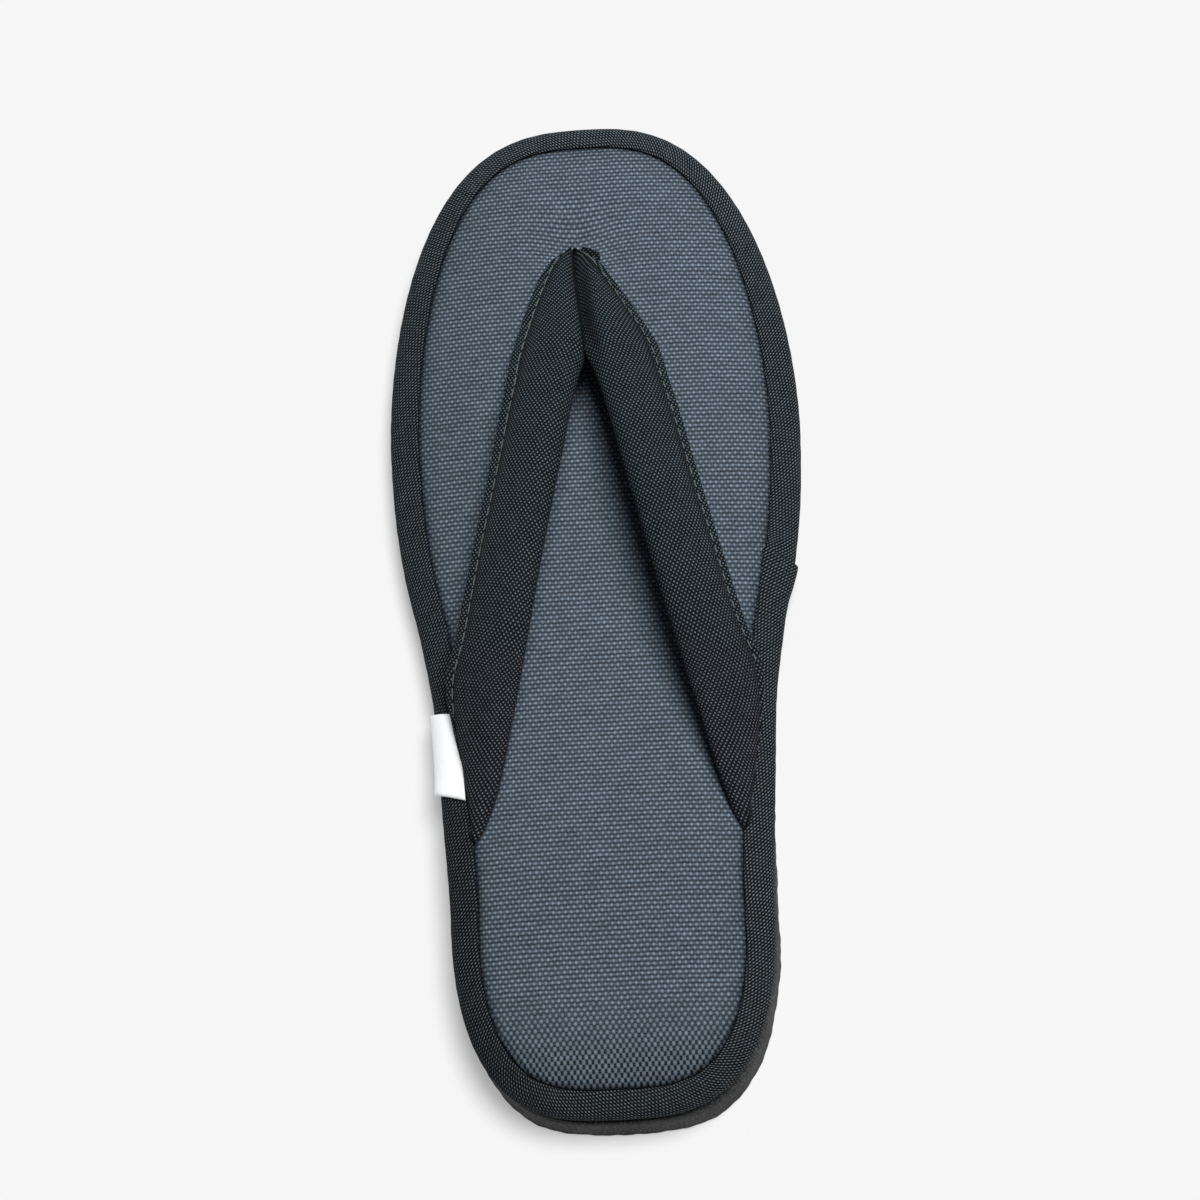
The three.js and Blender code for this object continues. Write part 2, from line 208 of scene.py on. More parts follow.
@dataclass
class Piece:
    """A named mesh object made of patches, welded where their points meet."""

    name: str
    node: str | None
    slot: str
    shift: np.ndarray
    weld: float = 2e-6

    def build(self, patches: list[Patch]) -> bpy.types.Object:
        """Joins the patches into one mesh object with faces outward.

        Every cell of a grid becomes a quad. Points that meet are welded, which closes seams and
        poles.

        Args:
            patches: The surfaces, in millimetres.

        Returns:
            The finished object, riding on the part's body.
        """
        points, corners, cloth, start = [], [], [], 0
        for patch in patches:
            rows, columns = patch.points.shape[:2]
            number = np.arange(rows * columns).reshape(rows, columns)
            quad = np.stack(
                [number[:-1, :-1], number[:-1, 1:], number[1:, 1:], number[1:, :-1]], -1
            ).reshape(-1, 4)
            corners.append(quad + start)
            cloth.append(patch.cloth.reshape(-1, 3)[quad.ravel()])
            points.append(patch.points.reshape(-1, 3))
            start += rows * columns
        place = (np.concatenate(points) + self.shift) * MM
        index = np.concatenate(corners)
        mesh = bpy.data.meshes.new(self.name)
        mesh.vertices.add(len(place))
        mesh.vertices.foreach_set("co", place.astype(np.float32).ravel())
        mesh.loops.add(index.size)
        mesh.loops.foreach_set("vertex_index", index.ravel().astype(np.int32))
        mesh.polygons.add(len(index))
        mesh.polygons.foreach_set("loop_start", np.arange(0, index.size, 4, dtype=np.int32))
        layer = mesh.attributes.new(CLOTH, "FLOAT_VECTOR", "CORNER")
        layer.data.foreach_set("vector", np.concatenate(cloth).astype(np.float32).ravel())
        mesh.update(calc_edges=True)
        mesh.validate()
        self._weld(mesh)
        mesh.shade_smooth()
        piece = bpy.data.objects.new(self.name, mesh)
        bpy.context.scene.collection.objects.link(piece)
        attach(piece, BODY)
        if self.node:
            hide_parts(self.node)
        return piece

    def _weld(self, mesh: bpy.types.Mesh) -> None:
        """Merges points that meet and turns every face outward.

        Args:
            mesh: The mesh to clean.
        """
        work = bmesh.new()
        work.from_mesh(mesh)
        bmesh.ops.remove_doubles(work, verts=work.verts, dist=self.weld)
        bmesh.ops.recalc_face_normals(work, faces=work.faces)
        work.to_mesh(mesh)
        work.free()


def report(piece: bpy.types.Object) -> None:
    """Logs a piece's name, triangles and size.

    Args:
        piece: The finished piece.
    """
    piece.data.calc_loop_triangles()
    size = [round(side / MM, 1) for side in piece.dimensions]
    LOG.info("%s: %d triangles, %s mm", piece.name, len(piece.data.loop_triangles), size)


def run_length(points: np.ndarray, axis: int) -> np.ndarray:
    """Distance along a grid's lines, from 0 at each line's first point.

    Args:
        points: A grid of points.
        axis: The axis to run along.

    Returns:
        The distance at each point.
    """
    step = np.linalg.norm(np.diff(points, axis=axis), axis=-1)
    start = np.zeros_like(np.take(step, [0], axis=axis))
    return np.concatenate([start, np.cumsum(step, axis=axis)], axis=axis)


# ------------------------------------------------------------------ the last


class SideRow(NamedTuple):
    """Half width of the footbed at a place along it."""

    y: float
    half: float


class EdgeRow(NamedTuple):
    """How far the sole's foot stands out from the footbed's outline, and its wall leans in."""

    y: float
    out: float
    flare: float


@dataclass(frozen=True)
class Cap:
    """A rounded end of the outline, a superellipse from its root to its tip."""

    tip: float
    root: float
    half: float
    reach: float
    square: float

    def half_width(self, y: np.ndarray) -> np.ndarray:
        """half * (1 - |t|^reach)^(1/square), where t runs from 0 at the root to 1 at the tip."""
        along = np.clip(np.abs((y - self.root) / (self.tip - self.root)), 0.0, 1.0)
        return self.half * (1.0 - along**self.reach) ** (1.0 / self.square)


@dataclass(frozen=True)
class Last:
    """Outline and heights of the footbed, in millimetres."""

    toe: Cap = Cap(126.8, 42.0, 52.1, 2.0, 2.72)
    heel: Cap = Cap(-130.0, -80.0, 38.6, 2.4, 3.1)
    sides: tuple[SideRow, ...] = (
        SideRow(42, 52.1),
        SideRow(23, 51.1),
        SideRow(7, 48.9),
        SideRow(-9, 45.4),
        SideRow(-28, 42.2),
        SideRow(-50, 40.6),
        SideRow(-80, 38.6),
    )
    toe_swing: float = -0.4
    swing_start: float = 40.0
    toe_spring: float = 5.0
    spring_start: float = 60.0
    fore_sole: float = 3.6
    heel_sole: float = 9.0
    wedge_front: float = -15.0
    wedge_back: float = -75.0
    gap: float = 0.3
    roll_under: float = 3.4
    roll_over: float = 5.5
    roll_low: float = 3.8
    roll_high: float = 3.7
    roll_stop: float = 66.0
    crown_flat: float = 32.0
    crown_slope: float = 0.3
    spine_front: float = 74.0
    spine_back: float = -92.0
    fine: int = 4000
    rim_points: int = 1400
    batch: int = 4000

    def half_width(self, y: np.ndarray) -> np.ndarray:
        """Half width at y: the caps past their roots, and the table of sides between them.

        Args:
            y: Places along the foot.

        Returns:
            The half width at each.
        """
        middle = read_along(self.sides, y)[..., 1]
        ends = np.where(y > self.toe.root, self.toe.half_width(y), self.heel.half_width(y))
        return np.where((y > self.toe.root) | (y < self.heel.root), ends, middle)

    def swing(self, y: np.ndarray) -> np.ndarray:
        """Sideways lean of the centre line."""
        return self.toe_swing * ease(y, self.swing_start, self.toe.tip)

    def underside(self, y: np.ndarray) -> np.ndarray:
        """Height of the sole's underside: flat, then rising as a square to the toe tip."""
        past = np.maximum(y - self.spring_start, 0.0) / (self.toe.tip - self.spring_start)
        return self.toe_spring * past**2

    def sole_top(self, y: np.ndarray) -> np.ndarray:
        """Height of the sole's upper face, with the wedge rising to the heel."""
        wedge = ease(-y, -self.wedge_front, -self.wedge_back)
        return self.underside(y) + self.fore_sole + (self.heel_sole - self.fore_sole) * wedge

    def pad_base(self, y: np.ndarray) -> np.ndarray:
        """Height of the footbed's base, one clearance above the sole."""
        return self.sole_top(y) + self.gap

    def roll(self, steps: int, inset: float) -> tuple[np.ndarray, np.ndarray]:
        """The rolled edge from the base up to where the crown takes over.

        Two quarter ellipses share their widest point: one below it and one above it.

        Args:
            steps: Points on each of the two.
            inset: How far the path is sunk below the outer face.

        Returns:
            Distances in from the outline, and heights above the base.
        """
        rising = np.linspace(-90.0, 0.0, steps, endpoint=False)
        turn = np.radians(np.concatenate([rising, np.linspace(0.0, self.roll_stop, steps)]))
        below = turn < 0
        width = np.where(below, self.roll_under, self.roll_over) - inset
        height = np.where(below, self.roll_low, self.roll_high) - inset
        return inset + width * (1 - np.cos(turn)), self.roll_low + height * np.sin(turn)

    def roll_end(self) -> tuple[float, float]:
        """Where the rolled edge hands over to the crown.

        Returns:
            The distance in from the outline, and the height above the base.
        """
        stop = math.radians(self.roll_stop)
        along = self.roll_over * (1 - math.cos(stop))
        return along, self.roll_low + self.roll_high * math.sin(stop)

    def rise(self, d: np.ndarray) -> np.ndarray:
        """Height of the pad's outer face above its base, d in from the outline.

        An ellipse up to the roll's end, and past it a parabola that is level from crown_flat on.

        Args:
            d: Distances in from the outline.

        Returns:
            The height at each.
        """
        end, low = self.roll_end()
        run = self.crown_flat - end
        left = np.clip(self.crown_flat - d, 0.0, run) / run
        crown = low + self.crown_slope * run / 2 * (1 - left**2)
        across = np.clip((self.roll_over - d) / self.roll_over, 0.0, 1.0)
        edge = self.roll_low + self.roll_high * np.sqrt(1 - across**2)
        return np.where(d < end, edge, crown)

    def outline(self, arc: np.ndarray) -> tuple[np.ndarray, np.ndarray]:
        """Points of the outline and the directions outward from it.

        Args:
            arc: Places round it: 0 at the toe tip, 1 at the heel tip by the right side, and 2 at
                the toe tip again by the left side.

        Returns:
            Points and unit vectors in plan, on a last axis of two.
        """
        middle = (self.toe.tip + self.heel.tip) / 2
        y = middle + (self.toe.tip - middle) * np.cos(np.linspace(0.0, np.pi, self.fine))
        side = np.stack([self.half_width(y), y], -1)
        length = run_length(side, 0)
        length /= length[-1]
        along = unit(np.gradient(side, length, axis=0))
        arc = np.mod(arc, 2.0)
        left = arc > 1.0
        place = np.where(left, 2.0 - arc, arc)
        sign = np.where(left, -1.0, 1.0)
        x, y, run_x, run_y = (np.interp(place, length, column) for column in (*side.T, *along.T))
        points = np.stack([sign * x, y], -1)
        outward = np.stack([-sign * run_y, run_x], -1)
        return points, unit(outward)

    def arc_of(self, y: float, side: Side) -> float:
        """The place on the outline, as outline() takes it, at a y of one side.

        Args:
            y: Place along the foot.
            side: Which side of the outline.

        Returns:
            The place, from 0 to 2.
        """
        arc = np.linspace(0.0, 1.0, self.fine)
        found = float(np.interp(-y, -self.outline(arc)[0][:, 1], arc))
        return found if side is Side.RIGHT else 2.0 - found

    def length(self) -> float:
        """Length of the whole outline."""
        points = self.outline(np.linspace(0.0, 2.0, self.fine))[0]
        return float(run_length(points, 0)[-1])

    def inset(self, arc: np.ndarray, d: np.ndarray) -> np.ndarray:
        """Plan points in from the outline, the lean of the toe included.

        Args:
            arc: Places on the outline.
            d: Distances in from it.

        Returns:
            The points.
        """
        points, outward = self.outline(arc)
        plan = points - outward * d[..., None]
        plan[..., 0] += self.swing(plan[..., 1])
        return plan

    def depth_in(self, plan: np.ndarray) -> np.ndarray:
        """How far in from the outline plan points lie: the least distance to its points.

        Args:
            plan: The points.

        Returns:
            The distance for each.
        """
        rim = self.outline(np.linspace(0.0, 2.0, self.rim_points, endpoint=False))[0]
        flat = plan.reshape(-1, 2).copy()
        flat[:, 0] -= self.swing(flat[:, 1])
        parts = np.array_split(flat, max(1, len(flat) // self.batch))
        least = [np.sqrt(((p[:, None] - rim[None]) ** 2).sum(-1).min(1)) for p in parts]
        return np.concatenate(least).reshape(plan.shape[:-1])

    def spine(self, y: np.ndarray) -> np.ndarray:
        """The point of the centre line that a ring closes on at y."""
        held = np.clip(y, self.spine_back, self.spine_front)
        return np.stack([self.swing(held), held], -1)


class DentRow(NamedTuple):
    """A soft trough, or a ridge where depth is negative, laid on a surface."""

    x: float
    y: float
    turn: float
    long: float
    wide: float
    depth: float


def pressed(plan: np.ndarray, rows: tuple[DentRow, ...]) -> np.ndarray:
    """How far soft troughs press a surface down: a sum of bells on their own long and wide axes.

    Args:
        plan: Plan points.
        rows: The troughs; turn is in degrees from +X.

    Returns:
        The drop at each point, in millimetres.
    """
    table = np.array(rows)
    turn = np.radians(table[:, 2])
    away = plan[..., None, :] - table[:, :2]
    along = away[..., 0] * np.cos(turn) + away[..., 1] * np.sin(turn)
    across = away[..., 1] * np.cos(turn) - away[..., 0] * np.sin(turn)
    bells = np.exp(-((along / table[:, 3]) ** 2) - (across / table[:, 4]) ** 2)
    return (bells * table[:, 5]).sum(-1)


# ------------------------------------------------------------------ finishes


class Nodes:
    """Short calls that add nodes to one material."""

    def __init__(self, name: str) -> None:
        """Starts a material with an empty node tree."""
        self.material = bpy.data.materials.new(name)
        self.material.use_nodes = True
        self.tree = self.material.node_tree
        self.tree.nodes.clear()

    def add(self, kind: str, **settings: object) -> bpy.types.Node:
        """Adds a node and sets its properties.

        Args:
            kind: The node's type.
            settings: Its properties by name.

        Returns:
            The node.
        """
        node = self.tree.nodes.new(kind)
        for key, value in settings.items():
            setattr(node, key, value)
        return node

    def put(self, socket: bpy.types.NodeSocket, value: object) -> None:
        """Links a value to a socket if it is an output, and otherwise sets it.

        Args:
            socket: The input to fill.
            value: An output, a number, a vector or a colour.
        """
        if isinstance(value, bpy.types.NodeSocket):
            self.tree.links.new(value, socket)
        else:
            socket.default_value = value

    def filled(self, node: bpy.types.Node, values: dict[object, object]) -> bpy.types.Node:
        """The node with its inputs filled, by name or number."""
        for key, value in values.items():
            self.put(node.inputs[key], value)
        return node

    def math(self, operation: str, *values: object) -> bpy.types.NodeSocket:
        """One step of arithmetic."""
        node = self.add("ShaderNodeMath", operation=operation)
        return self.filled(node, dict(enumerate(values))).outputs[0]

    def turned(self, operation: str, value: object, times: float) -> bpy.types.NodeSocket:
        """The sine or cosine of a value multiplied by a number."""
        return self.math(operation, self.math("MULTIPLY", value, times))

    def spread(
        self, value: object, low: float, high: float, to: tuple[float, float] = (0.0, 1.0)
    ) -> bpy.types.NodeSocket:
        """Maps low..high smoothly on to another range."""
        node = self.add("ShaderNodeMapRange", interpolation_type="SMOOTHSTEP")
        return self.filled(node, dict(enumerate((value, low, high, *to)))).outputs[0]

    def mix(self, share: object, first: object, second: object) -> bpy.types.NodeSocket:
        """Blends two colours."""
        node = self.add("ShaderNodeMix", data_type="RGBA")
        return self.filled(node, {0: share, 6: first, 7: second}).outputs[2]

    def noise(
        self, place: object, scale: float, detail: float = 2.0, rough: float = 0.5
    ) -> bpy.types.NodeSocket:
        """Cloudy noise from 0 to 1."""
        values = {"Vector": place, "Scale": scale, "Detail": detail, "Roughness": rough}
        return self.filled(self.add("ShaderNodeTexNoise"), values).outputs[0]

    def cloth(self) -> bpy.types.NodeSocket:
        """The cloth's own u, v and shade, in millimetres."""
        return self.add("ShaderNodeAttribute", attribute_name=CLOTH).outputs["Vector"]

    def place(self) -> bpy.types.NodeSocket:
        """Object coordinates, in metres."""
        return self.add("ShaderNodeTexCoord").outputs["Object"]

    def split(self, vector: object) -> list[bpy.types.NodeSocket]:
        """The three numbers of a vector."""
        return list(self.filled(self.add("ShaderNodeSeparateXYZ"), {0: vector}).outputs)

    def joined(self, x: object, y: object, z: object) -> bpy.types.NodeSocket:
        """A vector from three numbers."""
        return self.filled(self.add("ShaderNodeCombineXYZ"), {0: x, 1: y, 2: z}).outputs[0]

    def bump(self, height: object, distance: float, strength: float) -> bpy.types.NodeSocket:
        """A normal tilted by a height whose full range is distance metres."""
        values = {"Height": height, "Distance": distance, "Strength": strength}
        return self.filled(self.add("ShaderNodeBump"), values).outputs[0]

    def finish(
        self, colour: object, roughness: object, normal: object, **constants: object
    ) -> bpy.types.Material:
        """Closes the material with one principled shader.

        Args:
            colour: Base colour.
            roughness: Roughness.
            normal: The bumped normal.
            constants: Numbers and colours of other sockets by name, with _ for a space.

        Returns:
            The material.
        """
        values = {"Base Color": colour, "Roughness": roughness, "Normal": normal}
        values |= {key.replace("_", " "): value for key, value in constants.items()}
        shader = self.filled(self.add("ShaderNodeBsdfPrincipled"), values)
        out = self.add("ShaderNodeOutputMaterial")
        self.tree.links.new(shader.outputs[0], out.inputs[0])
        return self.material


def shade(red: int, green: int, blue: int) -> Colour:
    """A colour in linear light, ((c + 0.055) / 1.055)^2.4 for each part c.

    Args:
        red: Red, from 0 to 255 as colours are usually given.
        green: Green.
        blue: Blue.

    Returns:
        The linear colour, with an alpha of 1.
    """
    parts = np.array([red, green, blue]) / 255.0
    linear = np.where(parts > 0.04045, ((parts + 0.055) / 1.055) ** 2.4, parts / 12.92)
    return (*(float(part) for part in linear), 1.0)


@dataclass(frozen=True)
class Canvas:
    """Plain-weave canvas: rows of round threads with dark furrows and holes between them.

    With a = u / warp and b = v / weft, the height is 1/2 plus half the weighed mean of
    sin(pi a) sin(pi b), by dots, -cos(2 pi b), by furrow, and -cos(2 pi a), by ripple. The
    thread's colour shows by the height to a power, so a high power lights only the crowns: the
    bright crowns are partly painted highlight and the dark furrows partly painted shade, over the
    weave's own light and dark pattern.
    Where holes is above 0, the cloth opens towards the heel end into an even net with small dark
    holes, one wherever sin(pi a) sin(pi b) is lowest.
    """

    name: str
    warp: float
    weft: float
    dots: float
    furrow: float
    ripple: float
    power: float
    gap: Colour
    thread: Colour
    thread_back: Colour
    relief: float
    holes: float = 0.0
    holes_start: float = -0.095
    holes_end: float = -0.118
    hole_edge: tuple[float, float] = (-0.5, 0.35)
    hole_fray: float = 0.4
    net: tuple[float, float] = (-0.02, 0.55)
    net_crown: float = 0.2
    waver: float = 0.2
    waver_scale: tuple[float, float] = (0.35, 0.3)
    fray: float = 0.45
    fibre_scale: float = 2.6
    slub: float = 0.5
    slub_scale: float = 1.1
    slub_long: float = 0.3
    cloudy: float = 0.07
    cloud_scale: float = 0.05
    front: float = 0.03
    back: float = -0.05
    roughness: float = 0.9
    sheen: float = 0.015

    def make(self) -> bpy.types.Material:
        """Builds the material; towards the heel its thread turns to the second colour.

        Returns:
            The material.
        """
        n = Nodes(self.name)
        cloth = n.cloth()
        u, v, tone = n.split(cloth)
        a = self._strayed(n, u, cloth, self.waver_scale[0], self.warp)
        b = self._strayed(n, v, n.joined(v, u, 7.0), self.waver_scale[1], self.weft)
        fibre = n.noise(cloth, self.fibre_scale, 3.0, 0.7)
        dot = n.math("MULTIPLY", n.turned("SINE", a, math.pi), n.turned("SINE", b, math.pi))
        height = self._height(n, a, b, dot, fibre)
        y = n.split(n.place())[1]
        crown = n.math("POWER", height, self.power)
        if self.holes:
            crown = self._opened(n, crown, dot, fibre, y)
        slub = n.noise(n.joined(n.math("MULTIPLY", u, self.slub_long), v, 3.0), self.slub_scale)
        slub = n.math("MULTIPLY_ADD", slub, self.slub * 2, 1 - self.slub)
        thread = n.mix(n.spread(y, self.back, self.front), self.thread_back, self.thread)
        # Crowns take the pale thread colour as partly painted highlight; furrows take the gap colour
        # as partly painted shade.
        colour = n.mix(n.math("MULTIPLY", crown, slub), self.gap, thread)
        cloud = n.noise(cloth, self.cloud_scale, 3.0)
        cloud = n.math("MULTIPLY_ADD", cloud, self.cloudy * 2, 1 - self.cloudy)
        toned = n.add("ShaderNodeVectorMath", operation="SCALE")
        n.filled(toned, {0: colour, "Scale": n.math("MULTIPLY", cloud, tone)})
        return n.finish(
            toned.outputs[0],
            n.spread(height, 0.0, 1.0, (1.0, self.roughness)),
            n.bump(height, self.relief * MM, 1.0),
            Specular_IOR_Level=0.06,
            Sheen_Weight=self.sheen,
            Sheen_Roughness=0.5,
        )

    def _strayed(
        self, n: Nodes, value: object, place: object, scale: float, pitch: float
    ) -> bpy.types.NodeSocket:
        """The count of threads to a place, each thread straying a little from its line.

        Args:
            n: The material's nodes.
            value: Distance across the threads.
            place: Where the noise that moves them is read.
            scale: That noise's scale.
            pitch: The threads' spacing.

        Returns:
            The distance, moved by up to waver, over the pitch.
        """
        stray = n.math("SUBTRACT", n.noise(place, scale), 0.5)
        return n.math("DIVIDE", n.math("MULTIPLY_ADD", stray, self.waver * 2, value), pitch)

    def _height(
        self, n: Nodes, a: object, b: object, dot: object, fibre: object
    ) -> bpy.types.NodeSocket:
        """The weave's height from 0 to 1, roughened by loose fibres.

        Args:
            n: The material's nodes.
            a: Threads counted along u.
            b: Threads counted along v.
            dot: sin(pi a) sin(pi b).
            fibre: Fine noise.

        Returns:
            The height.
        """
        half = 0.5 / (self.dots + self.furrow + self.ripple)
        height = n.math("MULTIPLY_ADD", dot, self.dots * half, 0.5 - self.fray / 2)
        for count, depth in ((b, self.furrow), (a, self.ripple)):
            wave = n.turned("COSINE", count, 2 * math.pi)
            height = n.math("MULTIPLY_ADD", wave, -depth * half, height)
        height = n.math("MULTIPLY_ADD", fibre, self.fray, height)
        return n.math("MINIMUM", n.math("MAXIMUM", height, 0.0), 1.0)

    def _opened(
        self, n: Nodes, crown: object, dot: object, fibre: object, y: object
    ) -> bpy.types.NodeSocket:
        """The crowns turned into a net with dark holes, more and more towards the heel end.

        Args:
            n: The material's nodes.
            crown: How much thread shows in the closed weave.
            dot: sin(pi a) sin(pi b).
            fibre: Fine noise.
            y: Place along the foot, in metres.

        Returns:
            How much thread shows.
        """
        edge = n.math("SUBTRACT", dot, self.hole_fray / 2)
        edge = n.math("MULTIPLY_ADD", fibre, self.hole_fray, edge)
        net = n.spread(edge, *self.hole_edge, self.net)
        net = n.math("MULTIPLY_ADD", crown, self.net_crown, net)
        share = n.spread(y, self.holes_end, self.holes_start, (self.holes, 0.0))
        return n.math("MULTIPLY_ADD", n.math("SUBTRACT", net, crown), share, crown)


@dataclass(frozen=True)
class MouldedSole:
    """Brown-grey moulded sole: matt and speckled, with fine upright brush streaks on its wall."""

    name: str = "brown_grey_sole"
    body: Colour = shade(72, 73, 72)
    pale: Colour = shade(112, 113, 112)
    dark: Colour = shade(36, 37, 37)
    fine: float = 2.2
    streak_long: float = 0.3
    cloud_scale: float = 0.07
    relief: float = 0.3

    def make(self) -> bpy.types.Material:
        """Builds the material: streaks are noise drawn out across the edge.

        Returns:
            The material.
        """
        n = Nodes(self.name)
        cloth = n.cloth()
        u, v = n.split(cloth)[:2]
        drawn = n.joined(n.math("MULTIPLY", u, self.streak_long), v, 1.0)
        streak = n.noise(drawn, self.fine, 4.0, 0.65)
        grain = n.noise(cloth, self.fine, 4.0, 0.7)
        cloud = n.noise(cloth, self.cloud_scale, 3.0)
        mixed = n.math("ADD", n.math("MULTIPLY", streak, 0.7), n.math("MULTIPLY", cloud, 0.3))
        body = n.mix(n.spread(mixed, 0.38, 0.62), self.dark, self.body)
        colour = n.mix(n.spread(grain, 0.53, 0.68), body, self.pale)
        height = n.math("ADD", n.math("MULTIPLY", streak, 0.5), n.math("MULTIPLY", grain, 0.5))
        return n.finish(
            colour,
            n.spread(grain, 0.3, 0.7, (0.72, 0.92)),
            n.bump(height, self.relief * MM, 0.8),
            Specular_IOR_Level=0.25,
        )


@dataclass(frozen=True)
class LabelTape:
    """White woven tape with fine crosswise ribs."""

    name: str = "white_label_tape"
    white: Colour = shade(251, 251, 252)
    shadow: Colour = shade(226, 229, 233)
    rib: float = 0.42
    across: float = 1.3
    fibre_scale: float = 5.0
    relief: float = 0.06
    # A painted glow: the tape gives off light of its own, which keeps it white where it tilts away
    # from the light.
    painted_glow: float = 0.22

    def make(self) -> bpy.types.Material:
        """Builds the material: ribs are a sine across the tape, broken by fibre noise.

        Returns:
            The material.
        """
        n = Nodes(self.name)
        cloth = n.cloth()
        u, v = n.split(cloth)[:2]
        turn = 2 * math.pi / self.rib
        rib, warp = n.turned("SINE", v, turn), n.turned("SINE", u, turn / self.across)
        fibre = n.noise(cloth, self.fibre_scale, 3.0, 0.7)
        height = n.math("ADD", n.math("MULTIPLY", n.math("MULTIPLY", rib, warp), 0.5), fibre)
        colour = n.mix(n.spread(height, 0.0, 0.8), self.shadow, self.white)
        return n.finish(
            colour,
            n.spread(fibre, 0.2, 0.8, (0.55, 0.75)),
            n.bump(height, self.relief * MM, 0.7),
            Specular_IOR_Level=0.35,
            Sheen_Weight=0.1,
            # Painted glow, standing in for light the tape does not get.
            Emission_Color=self.white,
            Emission_Strength=self.painted_glow,
        )


@dataclass(frozen=True)
class SewingThread:
    """Twisted grey-green sewing thread."""

    name: str = "grey_green_thread"
    light: Colour = shade(116, 132, 125)
    dark: Colour = shade(60, 72, 69)
    twist: float = 0.45
    climb: float = 6.0
    relief: float = 0.05

    def make(self) -> bpy.types.Material:
        """Builds the material: the twist is a sine that climbs round the thread.

        Returns:
            The material.
        """
        n = Nodes(self.name)
        u, v = n.split(n.cloth())[:2]
        climb = n.math("MULTIPLY", u, self.climb)
        turn = n.math("MULTIPLY_ADD", v, 2 * math.pi / self.twist, climb)
        ply = n.math("MULTIPLY_ADD", n.math("SINE", turn), 0.5, 0.5)
        colour = n.mix(ply, self.dark, self.light)
        return n.finish(colour, 0.6, n.bump(ply, self.relief * MM, 0.8), Sheen_Weight=0.2)


# In each canvas the thread colour on the crowns is partly painted highlight and the gap colour
# partly painted shade, over the weave's own pattern; the charcoal canvases' crowns are far paler
# than the cloth itself.
SLATE_CANVAS = Canvas(
    name="slate_canvas",
    warp=0.73,
    weft=1.10,
    dots=0.85,
    furrow=0.8,
    ripple=0.3,
    power=1.6,
    gap=shade(12, 15, 19),
    thread=shade(143, 160, 177),
    thread_back=shade(143, 160, 177),
    relief=0.08,
    holes=0.95,
)
STRAP_CANVAS = Canvas(
    name="charcoal_strap_canvas",
    warp=0.54,
    weft=0.67,
    dots=0.9,
    furrow=0.35,
    ripple=0.25,
    power=3.6,
    gap=shade(6, 7, 8),
    thread=shade(117, 138, 145),
    thread_back=shade(127, 130, 142),
    relief=0.06,
)
BINDING_CANVAS = Canvas(
    name="charcoal_binding_canvas",
    warp=0.54,
    weft=0.65,
    dots=0.6,
    furrow=0.9,
    ripple=0.15,
    power=3.9,
    gap=shade(6, 7, 8),
    thread=shade(131, 145, 153),
    thread_back=shade(131, 141, 148),
    relief=0.06,
)


# ------------------------------------------------------------------ the pieces


@dataclass
class Outsole:
    """Wedge outsole: flat underside, toe spring, softened edges and a slightly uneven wall."""

    last: Last
    shift: np.ndarray
    edge: tuple[EdgeRow, ...] = (
        EdgeRow(130, -1.6, 0.0),
        EdgeRow(-40, -1.6, 0.0),
        EdgeRow(-80, 0.0, 0.4),
        EdgeRow(-110, 0.5, 1.0),
        EdgeRow(-130, 1.9, 1.5),
    )
    lean: float = 0.8
    bevel: float = 0.7
    stations: int = 720
    wall_steps: int = 12
    face_steps: int = 22
    ripple: float = 0.1
    waves: tuple[Wave, ...] = (Wave(1.0, 0.31, 0.0), Wave(0.7, 0.83, 1.3), Wave(0.5, 1.9, 0.0))

    def build(self) -> bpy.types.Object:
        """Rings run from the middle of the underside out, up the wall and in over the top.

        Each corner is a quarter circle of the bevel's size; the wall's foot ripples by a sum of
        sines, as trimmed rubber does. Both sides ripple alike, so that the rings close.

        Returns:
            The outsole.
        """
        arc = np.linspace(0.0, 2.0, self.stations + 1)
        rim, _ = self.last.outline(arc)
        quarter = np.linspace(0.0, np.pi / 2, 5)
        turn = self.bevel * (1 - np.sin(quarter)), self.bevel * (1 - np.cos(quarter))
        wall = np.linspace(0.0, 1.0, self.wall_steps)[1:-1]
        inset = np.concatenate([turn[0], 0 * wall, turn[0][::-1]])
        rise = np.concatenate([0 * quarter, wall, 0 * quarter + 1.0])
        lift = np.concatenate([turn[1], 0 * wall, -turn[1][::-1]])
        half = self.last.length() / 2
        wave = waved((1 - np.abs(1 - arc)) * half, self.waves)
        foot = self.ripple * wave * (1 - rise[:, None]) ** 2
        _, out, flare = read_along(self.edge, rim[:, 1]).T
        d = inset[:, None] - out + flare * rise[:, None] - foot
        plan = self.last.inset(np.broadcast_to(arc, d.shape), d)
        y = plan[..., 1]
        low, high = self.last.underside(y), self.last.sole_top(y)
        z = low + (high - low) * rise[:, None] + lift[:, None]
        side = with_height(plan, z)
        bottom = self._face(side[0], self.last.underside)[::-1]
        top = self._face(side[-1], self.last.sole_top)
        points = np.concatenate([bottom[:-1], side, top[1:]])
        points[..., 0] += self.lean
        run = run_length(points, 0)
        around = np.broadcast_to(arc * half, run.shape)
        patch = Patch(points, np.stack([run, around, np.ones_like(run)], -1))
        piece = Piece("outsole_moulded", "outsole", "sole", self.shift).build([patch])
        piece.data.materials.append(MouldedSole().make())
        return piece

    def _face(self, ring: np.ndarray, height: Callable[[np.ndarray], np.ndarray]) -> np.ndarray:
        """Rings from one ring in to the centre line, on a face.

        Args:
            ring: The ring to start from.
            height: The face's height at y.

        Returns:
            The grid of points.
        """
        share = np.linspace(0.0, 1.0, self.face_steps)[:, None, None]
        plan = ring[None, :, :2] * (1 - share) + self.last.spine(ring[:, 1])[None] * share
        z = height(plan[..., 1])
        z[0] = ring[:, 2]
        return with_height(plan, z)


